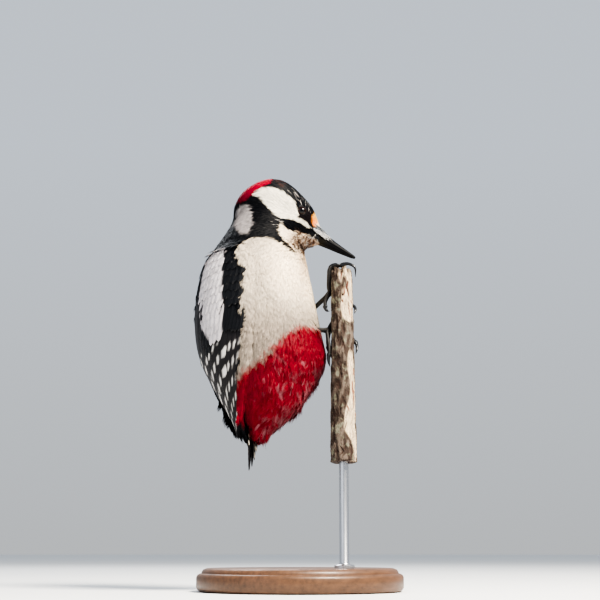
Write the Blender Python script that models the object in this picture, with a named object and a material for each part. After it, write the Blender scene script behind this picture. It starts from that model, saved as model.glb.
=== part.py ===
"""Great spotted woodpecker, male: a life-size still model clinging to a short upright stub on a display stand.

Run with: blender --background --python part.py

Units are metres and +Z is up. The origin is the centre of the stand's underside. The bird's trunk faces -Y,
so its left side is +X. Three frames of reference are used:
  - the body frame: origin in the middle of the trunk, +Z up along the spine, -Y to the belly, +X to its left;
  - the head frame: origin in the middle of the skull, +X along the bill, +Z to the crown, +Y to its left;
  - the perch frame: origin on the stub's axis at the foot of the stub, +Z up along it, +Y to the bird.
"""

import math

import bmesh
import bpy
from mathutils import Matrix, Vector

MM = 0.001
GAP = 0.3  # clearance between neighbouring pieces, in mm
ROOM = 0.6  # the same round a curved piece that is let into another
SIDES = (("left", 1), ("right", -1))  # each side's name and its direction along X

# --- Pose ---------------------------------------------------------------------------------------------------
BODY_CENTRE = Vector((0.0, 24.0, 149.0)) * MM
BODY_LEAN_LEFT = math.radians(13)  # the spine leans to the bird's left
BODY_LEAN_BACK = math.radians(5)  # and back from the stub
HEAD_CENTRE = Vector((-1.0, -11.5, 61.0)) * MM  # in the body frame
HEAD_TURN = math.radians(20)  # to the left of the trunk's facing
HEAD_NOD = math.radians(30)  # bill below the horizontal

# --- Trunk and neck: (height, middle, half width, half depth) of each cross-section, in mm, body frame ----------
TRUNK_SECTIONS = (
    (-73.0, 1.5, 4.0, 3.0),
    (-69.5, 0.5, 7.5, 5.8),
    (-64.0, -1.6, 11.8, 11.4),
    (-56.0, -3.8, 17.3, 19.0),
    (-45.0, -3.7, 23.0, 25.8),
    (-31.0, -4.6, 27.5, 32.8),
    (-18.0, -1.3, 29.7, 33.9),
    (-2.0, 1.0, 30.3, 33.3),
    (14.0, 1.7, 29.3, 31.0),
    (28.0, 2.2, 26.8, 28.8),
    (40.0, -0.5, 22.5, 24.5),
    (50.0, -3.5, 18.5, 21.5),
    (60.0, -5.0, 14.8, 19.0),
    (68.0, -6.0, 9.5, 13.0),
)
NECK_FOOT = 37.0  # height of the cut between trunk and neck

# --- Head: (forward, middle height, half width, half height), in mm, head frame ----------------------------------
HEAD_SECTIONS = (
    (-22.8, -6.5, 4.5, 5.0),
    (-20.5, -5.0, 9.2, 9.5),
    (-14.5, -1.2, 12.6, 14.0),
    (-6.0, 0.9, 13.9, 15.8),
    (3.0, 0.8, 13.4, 15.1),
    (11.0, -0.1, 11.4, 13.5),
    (17.0, -1.0, 8.9, 12.0),
    (22.0, -2.6, 6.6, 9.3),
    (26.0, -3.0, 5.4, 6.6),
    (30.0, -2.6, 4.6, 5.2),
)
SKULL_BASE = Vector((0.0, 0.0, -15.5))  # a point on the cut between neck and head
SKULL_BASE_SLOPE = math.radians(8)  # the cut rises to the nape, past the head's own level
EYE_CENTRE = Vector((12.6, 7.6, 4.6))  # left eye; the right one mirrors it
EYE_RADIUS = 3.1
EYE_SIDES = 12

# --- Bill: (forward, half width, height above the mouth line, depth below it), in mm, head frame -----------------------
BILL_MOUTH_HEIGHT = -2.0
BILL_SECTIONS = (
    (22.4, 4.4, 4.5, 4.1),
    (27.0, 4.0, 4.2, 4.1),
    (31.0, 3.4, 3.6, 3.7),
    (36.0, 2.7, 2.7, 3.0),
    (41.0, 2.2, 2.0, 2.4),
    (46.5, 1.6, 1.35, 1.6),
    (51.2, 1.0, 0.8, 0.85),
)

# --- Folded wings, in degrees round the body from the belly line -----------------------------------------------------
# (height, angle of the front edge, angle of the back edge, thickness in mm)
WING_SECTIONS = (
    (31.0, 84.0, 118.0, 3.0),
    (26.0, 76.0, 132.0, 5.0),
    (12.0, 74.0, 148.0, 6.0),
    (-6.0, 76.0, 160.0, 6.0),
    (-24.0, 80.0, 168.0, 5.4),
    (-38.0, 86.0, 172.0, 4.6),
    (-50.0, 93.0, 172.0, 3.8),
    (-60.0, 102.0, 170.0, 3.0),
    (-68.0, 114.0, 164.0, 2.4),
    (-73.0, 130.0, 156.0, 1.8),
)
# The surface that the wings' outsides follow: (height, middle, half width, half depth), in mm
WING_SURFACE = (
    (-74.0, 0.0, 12.5, 11.0),
    (-66.0, -0.4, 15.5, 14.2),
    (-58.0, -1.0, 18.0, 18.4),
    (-52.0, -1.6, 20.8, 22.2),
    (-44.0, -2.5, 24.8, 26.9),
    (-31.0, -2.0, 29.0, 31.8),
    (-20.0, -0.5, 31.0, 34.1),
    (-2.0, 2.0, 31.7, 33.8),
    (14.0, 2.8, 30.6, 31.4),
    (28.0, 3.2, 28.0, 29.2),
    (40.0, 1.0, 23.0, 25.0),
)

# --- Tail: quill pairs from the middle one outwards, as (half width at the tip, height of the tip) ---------------------
TAIL_TOP = -42.0
TAIL_TOP_HALF_WIDTH = 6.8
TAIL_MIDDLE = 3.4  # how far the tail lies behind the body's middle
TAIL_THICKNESS = 3.4
TAIL_TIPS = ((1.6, -89.5), (3.6, -87.0), (5.3, -83.0), (6.7, -78.0), (7.5, -72.0))
TAIL_NOTCH = 3.0  # depth of the notch between two tips

# --- Legs: bulb of feathers at the top, bare shank, four toes with a claw each -----------------------------------------
THIGH_RADII = (7.5, 6.5, 4.2, 2.4)
SHANK_RADII = (1.2, 1.1, 1.25, 1.9, 1.5, 0.8)
TOE_RADII = (1.15, 1.05, 1.0, 0.95)
CLAW_RADII = (0.9, 0.8, 0.6, 0.25)
HEEL = {"left": Vector((8.4, -4.0, 150.2)), "right": Vector((-6.6, -11.0, 136.6))}  # where the bare leg starts
HIP_DEPTH = 15.0  # how far the feathered leg goes back into the trunk
# Feet in the perch frame, each point as (degrees round the stub, distance from its axis, height along it)
ANKLE = {"left": (20, 7.7, 94), "right": (8, 8.0, 72)}
TOES = {
    "left": {
        1: ((8, 8.0, 92.1), (1, 9.0, 89.4), (-2, 9.4, 87.8), (-4, 9.4, 86.4)),
        2: ((3, 7.5, 95.7), (-15, 7.1, 99.6), (-22, 7.0, 102.4), (-28, 6.7, 105.4)),
        3: ((20, 7.5, 96.0), (17, 7.0, 102.0), (10, 6.5, 106.2), (0, 1.4, 107.8)),
        4: ((36, 7.6, 93.2), (70, 7.0, 90.4), (98, 6.9, 88.2), (124, 6.9, 86.4)),
    },
    "right": {
        1: ((9, 8.3, 69.9), (11, 8.9, 67.2), (13, 9.1, 65.6), (14, 9.1, 64.2)),
        2: ((13, 7.9, 74.0), (38, 7.3, 78.6), (64, 7.2, 80.6), (88, 7.2, 80.8)),
        3: ((24, 7.8, 72.1), (64, 7.3, 72.0), (98, 7.2, 69.8), (130, 7.2, 66.4)),
        4: ((-12, 8.0, 70.5), (-24, 7.8, 66.6), (-30, 7.4, 62.6), (-33, 7.3, 58.6)),
    },
}
CLAWS = {
    "left": {
        1: ((-4, 9.4, 86.1), (-7, 9.0, 83.6), (-10, 8.0, 82.3), (-15, 6.7, 81.9)),
        2: ((-29, 6.5, 106.1), (-36, 5.0, 107.6), (-56, 3.4, 107.8), (-88, 2.8, 106.9)),
        3: ((0, 1.0, 107.8), (180, 3.6, 108.4), (176, 7.1, 106.2), (174, 7.6, 100.6)),
        4: ((127, 6.9, 86.2), (145, 7.3, 84.4), (158, 7.2, 82.4), (166, 6.6, 80.2)),
    },
    "right": {
        1: ((14, 9.1, 63.9), (15, 9.0, 61.4), (16, 8.3, 59.6), (17, 7.0, 58.6)),
        2: ((93, 7.3, 80.5), (110, 7.6, 79.4), (124, 7.4, 77.6), (133, 6.8, 75.4)),
        3: ((132, 7.2, 66.2), (152, 7.7, 63.2), (163, 7.6, 60.4), (169, 7.0, 57.6)),
        4: ((-33, 7.3, 58.2), (-35, 7.8, 55.0), (-35, 7.6, 52.4), (-35, 6.9, 50.2)),
    },
}

# --- Stub (perch) and stand, in mm -----------------------------------------------------------------------------
STUB_FOOT = Vector((-8.0, -27.0, 66.0)) * MM
STUB_LEAN = math.radians(7)
STUB_LEAN_HEADING = math.radians(20)  # measured from +X towards +Y
STUB_LENGTH = 105.4
STUB_RADIUS_FOOT = 6.5
STUB_RADIUS_TOP = 5.2
STUB_BREAK = 2.2  # height of the splinters round the broken top
STUB_SIDES = 18
ROD_RADIUS = 2.5
ROD_DEPTH = 18.0  # how far the rod goes up into the stub
BASE_RADIUS = 54.0
BASE_HEIGHT = 12.0
BASE_EDGE = 2.0


def clear_scene():
    for thing in list(bpy.data.objects):
        bpy.data.objects.remove(thing, do_unlink=True)


def make_material(name, colour, roughness, metallic=0.0):
    made = bpy.data.materials.new(name)
    made.use_nodes = True
    shader = made.node_tree.nodes["Principled BSDF"]
    shader.inputs["Base Color"].default_value = (*colour, 1.0)
    shader.inputs["Roughness"].default_value = roughness
    shader.inputs["Metallic"].default_value = metallic
    return made


def add_object(name, mesh, finish):
    mesh.materials.clear()
    mesh.materials.append(finish)
    mesh.shade_smooth()
    mesh.set_sharp_from_angle(angle=math.radians(50))
    made = bpy.data.objects.new(name, mesh)
    bpy.context.scene.collection.objects.link(made)
    return made


def mesh_from(bm, name):
    bmesh.ops.recalc_face_normals(bm, faces=bm.faces)
    mesh = bpy.data.meshes.new(name)
    bm.to_mesh(mesh)
    bm.free()
    return mesh


def evaluated_mesh(thing):
    """The object's mesh with its modifiers applied; the object itself is removed."""
    bpy.context.view_layer.update()
    graph = bpy.context.evaluated_depsgraph_get()
    mesh = bpy.data.meshes.new_from_object(thing.evaluated_get(graph), depsgraph=graph)
    bpy.data.objects.remove(thing, do_unlink=True)
    return mesh


def carve(mesh, cutter_meshes):
    """The mesh with the cutters' space taken out of it."""
    whole = add_object("whole", mesh, MATERIALS["black_plumage"])
    cutters = [add_object("cutter", cutter, MATERIALS["black_plumage"]) for cutter in cutter_meshes]
    for cutter in cutters:
        cut = whole.modifiers.new("cut", "BOOLEAN")
        cut.operation = "DIFFERENCE"
        cut.solver = "EXACT"
        cut.object = cutter
    carved = evaluated_mesh(whole)
    for cutter in cutters:
        bpy.data.objects.remove(cutter, do_unlink=True)
    return carved


def smooth_between(stations, steps):
    """Catmull-Rom values through the stations, with this many steps from each to the next."""
    ends = [stations[0], *stations, stations[-1]]
    found = []
    for before, start, end, after in zip(ends, ends[1:], ends[2:], ends[3:]):
        for step in range(steps):
            s = step / steps
            found.append(
                [
                    0.5 * (2 * b + (c - a) * s + (2 * a - 5 * b + 4 * c - d) * s**2 + (3 * b - a - 3 * c + d) * s**3)
                    for a, b, c, d in zip(before, start, end, after)
                ]
            )
    return [*found, list(stations[-1])]


def value_at(stations, height):
    """The stations' other values at a height, along a smooth line through them."""
    rows = sorted(smooth_between(stations, 4))
    height = min(max(height, rows[0][0]), rows[-1][0])
    for low, high in zip(rows, rows[1:]):
        if height <= high[0]:
            share = (height - low[0]) / (high[0] - low[0])
            return [a + (b - a) * share for a, b in zip(low[1:], high[1:])]
    return rows[-1][1:]


def loft(rings):
    """A closed skin over rings of points, which all have as many points, with a flat cap at each end."""
    bm = bmesh.new()
    loops = []
    for ring in rings:
        corners = [bm.verts.new(Vector(point)) for point in ring]
        loops.append([bm.edges.new((a, b)) for a, b in zip(corners, corners[1:] + corners[:1])])
    for low, high in zip(loops, loops[1:]):
        bmesh.ops.bridge_loops(bm, edges=low + high)
    bmesh.ops.holes_fill(bm, edges=loops[0] + loops[-1], sides=0)
    return bm


def ellipse(count, half_x, half_y):
    return [
        (half_x * math.cos(math.tau * i / count), half_y * math.sin(math.tau * i / count)) for i in range(count)
    ]


def placed(mesh, frame):
    """A mesh drawn in mm in a frame of reference, put in its place in metres."""
    mesh.transform(frame @ Matrix.Scale(MM, 4))
    return mesh


def taper_tube(name, path, radii, finish, sides=8):
    """A round tube along a smooth line through world points in mm, its radius running from point to point."""
    rows = smooth_between([(*point, radius) for point, radius in zip(path, radii)], 2)
    curve = bpy.data.curves.new(name, "CURVE")
    curve.dimensions = "3D"
    curve.bevel_depth = 1.0
    curve.bevel_resolution = (sides - 4) // 2
    curve.use_fill_caps = True
    spline = curve.splines.new("POLY")
    spline.points.add(len(rows) - 1)
    for point, (x, y, z, radius) in zip(spline.points, rows):
        point.co = (x * MM, y * MM, z * MM, 1.0)
        point.radius = radius * MM
    curve.materials.append(finish)
    made = bpy.data.objects.new(name, curve)
    bpy.context.scene.collection.objects.link(made)
    return made


# --- Frames of reference ------------------------------------------------------------------------------------------


def body_frame():
    lean = Matrix.Rotation(BODY_LEAN_LEFT, 4, "Y") @ Matrix.Rotation(-BODY_LEAN_BACK, 4, "X")
    return Matrix.Translation(BODY_CENTRE) @ lean


def head_frame():
    facing = Matrix.Rotation(HEAD_TURN - math.pi / 2, 4, "Z")
    nod = Matrix.Rotation(HEAD_NOD, 4, "Y")
    return Matrix.Translation(body_frame() @ HEAD_CENTRE) @ facing @ nod


def perch_frame():
    across = Matrix.Rotation(STUB_LEAN_HEADING, 4, "Z")
    lean = across @ Matrix.Rotation(STUB_LEAN, 4, "Y") @ across.inverted()
    return Matrix.Translation(STUB_FOOT) @ lean


def on_perch(degrees, distance, height):
    """A world point in mm, from its place round the stub and along it."""
    angle = math.radians(degrees)
    point = Vector((distance * math.sin(angle), distance * math.cos(angle), height))
    return (perch_frame() @ (point * MM)) / MM


# --- Trunk, neck and head ------------------------------------------------------------------------------------------


def trunk_and_head():
    """One smooth mesh of trunk, neck and head, in place."""
    bm = loft(
        [
            [(x, middle + y, height) for x, y in ellipse(26, half_width, half_depth)]
            for height, middle, half_width, half_depth in smooth_between(TRUNK_SECTIONS, 3)
        ]
    )
    trunk = placed(mesh_from(bm, "trunk_shape"), body_frame())
    bm = loft(
        [
            [(forward, y, middle + z) for y, z in ellipse(24, half_width, half_height)]
            for forward, middle, half_width, half_height in smooth_between(HEAD_SECTIONS, 3)
        ]
    )
    head = placed(mesh_from(bm, "head_shape"), head_frame())
    bm = bmesh.new()
    bm.from_mesh(trunk)
    bm.from_mesh(head)
    shape = add_object("bird_shape", mesh_from(bm, "bird_shape"), MATERIALS["white_plumage"])
    merged = shape.modifiers.new("merge", "REMESH")
    merged.mode = "VOXEL"
    merged.voxel_size = 1.5 * MM
    blend = shape.modifiers.new("blend", "SMOOTH")
    blend.factor = 0.5
    blend.iterations = 14
    thin = shape.modifiers.new("thin", "DECIMATE")
    thin.ratio = 0.09
    return evaluated_mesh(shape)


def part_between(mesh, name, cuts):
    """The stretch of the mesh behind every cut, each given as a point and the direction that is taken away."""
    bm = bmesh.new()
    bm.from_mesh(mesh)
    for point, away in cuts:
        bmesh.ops.bisect_plane(
            bm, geom=bm.verts[:] + bm.edges[:] + bm.faces[:], plane_co=point, plane_no=away, clear_outer=True
        )
        rim = [edge for edge in bm.edges if edge.is_boundary]
        bmesh.ops.holes_fill(bm, edges=rim, sides=0)
    bmesh.ops.triangulate(bm, faces=bm.faces)
    return mesh_from(bm, name)


def flat_cut(frame, point, direction, side):
    """One face of a thin flat gap across a frame's direction: side is +1 above the gap and -1 below it."""
    away = (frame.to_3x3() @ Vector(direction)).normalized()
    return frame @ (Vector(point) * MM) + away * side * GAP / 2 * MM, away * -side


def flesh_pieces():
    """Head, neck and trunk as separate closed meshes with a thin gap between each and the next."""
    whole = trunk_and_head()
    neck_foot = (body_frame(), (0.0, 0.0, NECK_FOOT), (0.0, 0.0, 1.0))
    slope = (-math.sin(SKULL_BASE_SLOPE), 0.0, math.cos(SKULL_BASE_SLOPE))
    skull_base = (head_frame(), SKULL_BASE, slope)
    return {
        "head": part_between(whole, "head", [flat_cut(*skull_base, 1)]),
        "neck": part_between(whole, "neck", [flat_cut(*skull_base, -1), flat_cut(*neck_foot, 1)]),
        "trunk": part_between(whole, "trunk", [flat_cut(*neck_foot, -1)]),
    }


# --- Eyes and bill ----------------------------------------------------------------------------------------------------


def eye_mesh(side, grow=0.0):
    bm = bmesh.new()
    bmesh.ops.create_uvsphere(bm, u_segments=EYE_SIDES, v_segments=EYE_SIDES * 2 // 3, radius=EYE_RADIUS + grow)
    bmesh.ops.translate(bm, vec=Vector((EYE_CENTRE.x, EYE_CENTRE.y * side, EYE_CENTRE.z)), verts=bm.verts)
    return placed(mesh_from(bm, "eye"), head_frame())


def bill_room():
    """The space that both halves of the bill take in the feathers round its root."""
    rings = []
    for forward, half_width, above, below in smooth_between(BILL_SECTIONS, 2):
        lift = BILL_MOUTH_HEIGHT + (above - below) / 2
        sides = ellipse(16, half_width + ROOM, (above + below) / 2 + ROOM)
        rings.append([(forward, y, lift + z) for y, z in sides])
    rings[0] = [(forward - ROOM, y, z) for forward, y, z in rings[0]]
    return placed(mesh_from(loft(rings), "bill_room"), head_frame())


def bill_mesh(part):
    """One half of the bill: a half oval over (+1) or under (-1) the flat mouth line."""
    rings = []
    for forward, half_width, above, below in smooth_between(BILL_SECTIONS, 2):
        reach = above if part > 0 else below
        arc = [math.pi * i / 8 for i in range(9)]
        mouth = BILL_MOUTH_HEIGHT + part * GAP / 2
        rings.append(
            [(forward, half_width * math.cos(a), mouth + part * max(reach * math.sin(a), 0.0)) for a in arc]
        )
    return placed(mesh_from(loft(rings), "bill"), head_frame())


# --- Wings and tail ---------------------------------------------------------------------------------------------------


def wing_mesh(side, grow=0.0, proud=0.0):
    """A folded wing as a curved slab round the flank: side is +1 on the left."""
    rings = []
    for height, front, back, thickness in smooth_between(WING_SECTIONS, 2):
        middle, half_width, half_depth = value_at(WING_SURFACE, height)
        spread = math.degrees(grow / half_width)
        first, last = math.radians(front - spread), math.radians(back + spread)
        arc = [first + (last - first) * i / 7 for i in range(8)]
        outer = [(a, proud) for a in arc]
        inner = [(a, -thickness - grow) for a in reversed(arc)]
        rings.append(
            [
                (side * (half_width + step) * math.sin(a), middle - (half_depth + step) * math.cos(a), height)
                for a, step in outer + inner
            ]
        )
    if grow:
        rings[0] = [(x, y, z + grow) for x, y, z in rings[0]]
        rings[-1] = [(x, y, z - grow) for x, y, z in rings[-1]]
    return placed(mesh_from(loft(rings), "wing"), body_frame())


def tail_outline(grow):
    """Half of the tail's outline from its top edge to the middle tip, as (across, height)."""
    points = [(TAIL_TOP_HALF_WIDTH + grow, TAIL_TOP + grow)]
    pairs = list(reversed(TAIL_TIPS))
    for (across, tip), inner in zip(pairs, [*pairs[1:], None]):
        points.append((across + grow, tip + 6.0))
        points.append((across - 0.5 + grow, tip - grow))
        if inner:
            points.append((inner[0] + 0.5 + grow, tip + TAIL_NOTCH - grow))
    return points


def tail_mesh(grow=0.0):
    """Stiff overlapping quills as one slab with stepped points, the middle pair longest."""
    half = tail_outline(grow)
    outline = half + [(-across, height) for across, height in reversed(half)]
    bm = bmesh.new()
    back = TAIL_THICKNESS / 2 + grow
    face = bm.faces.new([bm.verts.new((across, back, height)) for across, height in outline])
    grown = bmesh.ops.extrude_face_region(bm, geom=[face])
    moved = [item for item in grown["geom"] if isinstance(item, bmesh.types.BMVert)]
    bmesh.ops.translate(bm, vec=Vector((0.0, -2 * back, 0.0)), verts=moved)
    bmesh.ops.translate(bm, vec=Vector((0.0, TAIL_MIDDLE, 0.0)), verts=bm.verts)
    bmesh.ops.triangulate(bm, faces=bm.faces)
    return placed(mesh_from(bm, "tail"), body_frame())


# --- Legs ----------------------------------------------------------------------------------------------------------


def leg_line(side):
    """The heel, the ankle and the direction of the bare leg, in mm."""
    heel = HEEL[side]
    ankle = on_perch(*ANKLE[side])
    return heel, ankle, (ankle - heel).normalized()


def shank_channel(side):
    """The room that a bare leg takes where it comes out of the belly's feathers."""
    heel, _, along = leg_line(side)
    radius = SHANK_RADII[0] + GAP
    return taper_tube("channel", [heel - along, heel + along * 12.0], [radius, radius], MATERIALS["grey_skin"])


def thigh(side, grow=0.0):
    heel, _, along = leg_line(side)
    deep = BODY_CENTRE / MM - heel
    deep -= along * deep.dot(along)
    inward = (deep.normalized() * 0.8 - along).normalized()
    hip = heel + inward * (HIP_DEPTH + grow)
    end = heel + along * grow
    path = [hip, hip.lerp(heel, 0.5), end - along * 3.0, end]
    radii = [radius + grow for radius in THIGH_RADII]
    return taper_tube(f"thigh_{side}", path, radii, MATERIALS["white_plumage"], sides=12)


def thigh_room(side):
    return thigh(side, ROOM)


def shank(side):
    heel, ankle, along = leg_line(side)
    length = (ankle - heel).length
    marks = (GAP, length * 0.45, length - 2.4, length - 0.4, length + 1.0, length + 1.7)
    return taper_tube(f"shank_{side}", [heel + along * mark for mark in marks], SHANK_RADII, MATERIALS["grey_skin"])


def toe_and_claw(side, number):
    path = [on_perch(*place) for place in TOES[side][number]]
    taper_tube(f"toe_{side}_{number}", path, TOE_RADII, MATERIALS["grey_skin"])
    path = [on_perch(*place) for place in CLAWS[side][number]]
    taper_tube(f"claw_{side}_{number}", path, CLAW_RADII, MATERIALS["horn"], sides=6)


# --- Perch and stand -------------------------------------------------------------------------------------------------


def stub_mesh():
    """A round stub of wood with a splintered top and a socket for the rod in its foot."""
    rings = []
    for height in [STUB_LENGTH * i / 8 for i in range(9)]:
        radius = STUB_RADIUS_FOOT + (STUB_RADIUS_TOP - STUB_RADIUS_FOOT) * height / STUB_LENGTH
        rings.append([(x, y, height) for x, y in ellipse(STUB_SIDES, radius, radius)])
    rings[-1] = [
        (x, y, z - STUB_BREAK * (0.5 + 0.5 * math.sin(2.4 * i + 0.6))) for i, (x, y, z) in enumerate(rings[-1])
    ]
    rings.append([(x * 0.45, y * 0.45, z - STUB_BREAK) for x, y, z in rings[-1]])
    return placed(mesh_from(loft(rings), "stub"), perch_frame())


def upright(radius, bottom, top, sides, name):
    bm = bmesh.new()
    bmesh.ops.create_cone(
        bm, cap_ends=True, segments=sides, radius1=radius, radius2=radius, depth=top - bottom
    )
    bmesh.ops.translate(bm, vec=Vector((0.0, 0.0, (top + bottom) / 2)), verts=bm.verts)
    return mesh_from(bm, name)


def add_perch_and_stand():
    foot = STUB_FOOT / MM
    at_foot = Matrix.Translation(Vector((STUB_FOOT.x, STUB_FOOT.y, 0.0)))
    socket = placed(upright(ROD_RADIUS + GAP, foot.z - 5.0, foot.z + ROD_DEPTH + GAP, 16, "socket"), at_foot)
    add_object("perch", carve(stub_mesh(), [socket]), MATERIALS["bark"])
    rod = placed(upright(ROD_RADIUS, BASE_HEIGHT + GAP, foot.z + ROD_DEPTH, 16, "rod"), at_foot)
    add_object("stand_rod", rod, MATERIALS["stand_metal"])
    base = add_object(
        "stand_base", placed(upright(BASE_RADIUS, 0.0, BASE_HEIGHT, 40, "base"), Matrix()), MATERIALS["stand_wood"]
    )
    edge = base.modifiers.new("edge", "BEVEL")
    edge.width = BASE_EDGE * MM
    edge.segments = 1
    edge.limit_method = "ANGLE"


def main():
    clear_scene()
    flesh = flesh_pieces()
    wings = {side: wing_mesh(sign) for side, sign in SIDES}
    wing_room = [wing_mesh(sign, ROOM, proud=6.0) for _, sign in SIDES]
    leg_room = [evaluated_mesh(make(side)) for side, _ in SIDES for make in (thigh_room, shank_channel)]
    trunk = carve(flesh["trunk"], [*wing_room, tail_mesh(GAP), *leg_room])
    add_object("trunk", trunk, MATERIALS["white_plumage"])
    add_object("neck", flesh["neck"], MATERIALS["black_plumage"])
    head = carve(flesh["head"], [bill_room(), *[eye_mesh(sign, GAP) for _, sign in SIDES]])
    add_object("head", head, MATERIALS["black_plumage"])
    add_object("tail", tail_mesh(), MATERIALS["black_plumage"])
    add_object("bill_upper", bill_mesh(1), MATERIALS["horn"])
    add_object("bill_lower", bill_mesh(-1), MATERIALS["horn"])
    for side, sign in SIDES:
        add_object(f"wing_{side}", wings[side], MATERIALS["black_plumage"])
        add_object(f"eye_{side}", eye_mesh(sign), MATERIALS["eye"])
        thigh(side)
        shank(side)
        for number in TOES[side]:
            toe_and_claw(side, number)
    add_perch_and_stand()


if __name__ == "__main__":
    MATERIALS = {
        "white_plumage": make_material("white_plumage", (0.80, 0.75, 0.66), 0.9),
        "black_plumage": make_material("black_plumage", (0.015, 0.016, 0.02), 0.75),
        "grey_skin": make_material("grey_skin", (0.09, 0.085, 0.08), 0.6),
        "horn": make_material("horn", (0.03, 0.03, 0.032), 0.4),
        "eye": make_material("eye", (0.03, 0.008, 0.005), 0.08),
        "bark": make_material("bark", (0.38, 0.29, 0.2), 0.95),
        "stand_metal": make_material("stand_metal", (0.5, 0.5, 0.5), 0.35, metallic=1.0),
        "stand_wood": make_material("stand_wood", (0.16, 0.08, 0.04), 0.5),
    }
    main()
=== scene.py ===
import math

import bmesh
import bpy
import numpy as np
from mathutils import Matrix, Vector, noise
from mathutils.bvhtree import BVHTree
from mathutils.kdtree import KDTree


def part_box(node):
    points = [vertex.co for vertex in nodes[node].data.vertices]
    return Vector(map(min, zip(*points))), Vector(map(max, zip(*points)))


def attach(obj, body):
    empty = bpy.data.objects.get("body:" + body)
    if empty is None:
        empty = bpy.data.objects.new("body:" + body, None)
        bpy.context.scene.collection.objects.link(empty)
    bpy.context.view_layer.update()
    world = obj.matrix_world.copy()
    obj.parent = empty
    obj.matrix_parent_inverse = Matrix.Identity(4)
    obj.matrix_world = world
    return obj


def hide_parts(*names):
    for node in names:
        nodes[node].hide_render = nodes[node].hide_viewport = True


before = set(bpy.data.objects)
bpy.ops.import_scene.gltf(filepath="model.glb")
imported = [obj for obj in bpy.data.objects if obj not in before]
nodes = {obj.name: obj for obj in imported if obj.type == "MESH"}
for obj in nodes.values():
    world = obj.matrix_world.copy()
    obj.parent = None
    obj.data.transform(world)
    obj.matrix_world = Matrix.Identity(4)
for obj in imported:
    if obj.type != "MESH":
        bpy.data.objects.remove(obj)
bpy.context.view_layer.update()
draw = np.random.default_rng(23)  # every random number in the script comes from here
mm = 0.001
sides = {"left": 1, "right": -1}  # each side's direction along the body's X

# the bird's pose, as the solids have it: millimetres and degrees
pose = {
    "bodyCentre": (0.0, 24.0, 149.0),
    "bodyLeanLeft": 13,
    "bodyLeanBack": 5,
    "headCentre": (-1.0, -11.5, 61.0),  # in the body's own frame
    "headTurn": 20,
    "headNod": 30,
    "stubFoot": (-8.0, -27.0, 66.0),
    "stubLean": 7,
    "stubHeading": 20,
}


def turnedFrame(centre, *turns):
    made = Matrix.Translation(Vector(centre))
    for degrees, axis in turns:
        made = made @ Matrix.Rotation(math.radians(degrees), 4, axis)
    return made


# body: +Z up the spine, -Y to the belly. head: +X along the bill, +Z to the crown. perch: +Z up the stub
bodyFrame = turnedFrame(pose["bodyCentre"], (pose["bodyLeanLeft"], "Y"), (-pose["bodyLeanBack"], "X"))
headFrame = turnedFrame(
    bodyFrame @ Vector(pose["headCentre"]), (pose["headTurn"] - 90, "Z"), (pose["headNod"], "Y")
)
perchFrame = turnedFrame(
    pose["stubFoot"], (pose["stubHeading"], "Z"), (pose["stubLean"], "Y"), (-pose["stubHeading"], "Z")
)


def intoFrame(place, points):
    back = np.array(place.inverted())
    return points @ back[:3, :3].T + back[:3, 3]


def outOfFrame(place, points):
    ahead = np.array(place)
    return points @ ahead[:3, :3].T + ahead[:3, 3]


# the world place of one that is given in a frame
def placed(place, point):
    return outOfFrame(place, np.array([point], float))[0]


# the world direction of one given in a frame
def along(place, direction):
    return np.array(place)[:3, :3] @ np.array(direction, float)


def unit(vectors):
    return vectors / np.maximum(np.linalg.norm(vectors, axis=-1, keepdims=True), 1e-9)


def ease(values, low, high):
    share = np.clip((values - low) / (high - low), 0, 1)
    return share * share * (3 - 2 * share)


# smooth noise from -1 to 1 at points in mm, with lumps of about this size in mm
def grain(points, size, seed=0):
    shift = Vector((seed * 7.1, seed * 3.7, seed * 5.3))
    return np.array([noise.noise(Vector(point) / size + shift) for point in points.tolist()])


# the value this share of the way from the first of a pair to the second
def partWay(pair, share):
    return pair[0] + (pair[1] - pair[0]) * share


# values along a smooth curve through rising stations
def smoothValue(at, heights, values):
    heights, values = np.array(heights, float), np.array(values, float)
    slopes = np.gradient(values, heights)
    at = np.clip(at, heights[0], heights[-1])
    low = np.clip(np.searchsorted(heights, at) - 1, 0, len(heights) - 2)
    span = heights[low + 1] - heights[low]
    s = (at - heights[low]) / span
    return (
        values[low] * (2 * s**3 - 3 * s**2 + 1)
        + slopes[low] * span * (s**3 - 2 * s**2 + s)
        + values[low + 1] * (3 * s**2 - 2 * s**3)
        + slopes[low + 1] * span * (s**3 - s**2)
    )


# camera, light and floor
studio = {
    "target": (0.0, 0.0, 0.1546),
    "azimuth": -70,
    "elevation": -11,
    "distance": 0.70,
    "lens": 77.3,
    "zenith": (0.70, 0.76, 0.84),
    "horizon": (0.60, 0.62, 0.64),
    "floorColour": (0.74, 0.74, 0.73),
    "floorRadius": 6,  # metres
    "worldStrength": 0.75,
    "lamps": {  # azimuth, elevation, distance, size, watts, colour
        "key": (-26, 50, 0.9, 0.30, 28.0, (1.0, 0.93, 0.82)),
        "fill": (-115, 14, 1.2, 0.9, 2.2, (0.84, 0.90, 1.0)),
        "back": (125, 42, 1.1, 0.5, 5.0, (0.95, 0.97, 1.0)),
    },
}


def aimed(thing, place, target):
    thing.location = place
    thing.rotation_euler = (Vector(target) - Vector(place)).to_track_quat("-Z", "Y").to_euler()
    bpy.context.scene.collection.objects.link(thing)


def around(azimuth, elevation, distance):
    a, e = math.radians(azimuth), math.radians(elevation)
    back = Vector((math.sin(a) * math.cos(e), -math.cos(a) * math.cos(e), math.sin(e)))
    return Vector(studio["target"]) + back * distance


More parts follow.
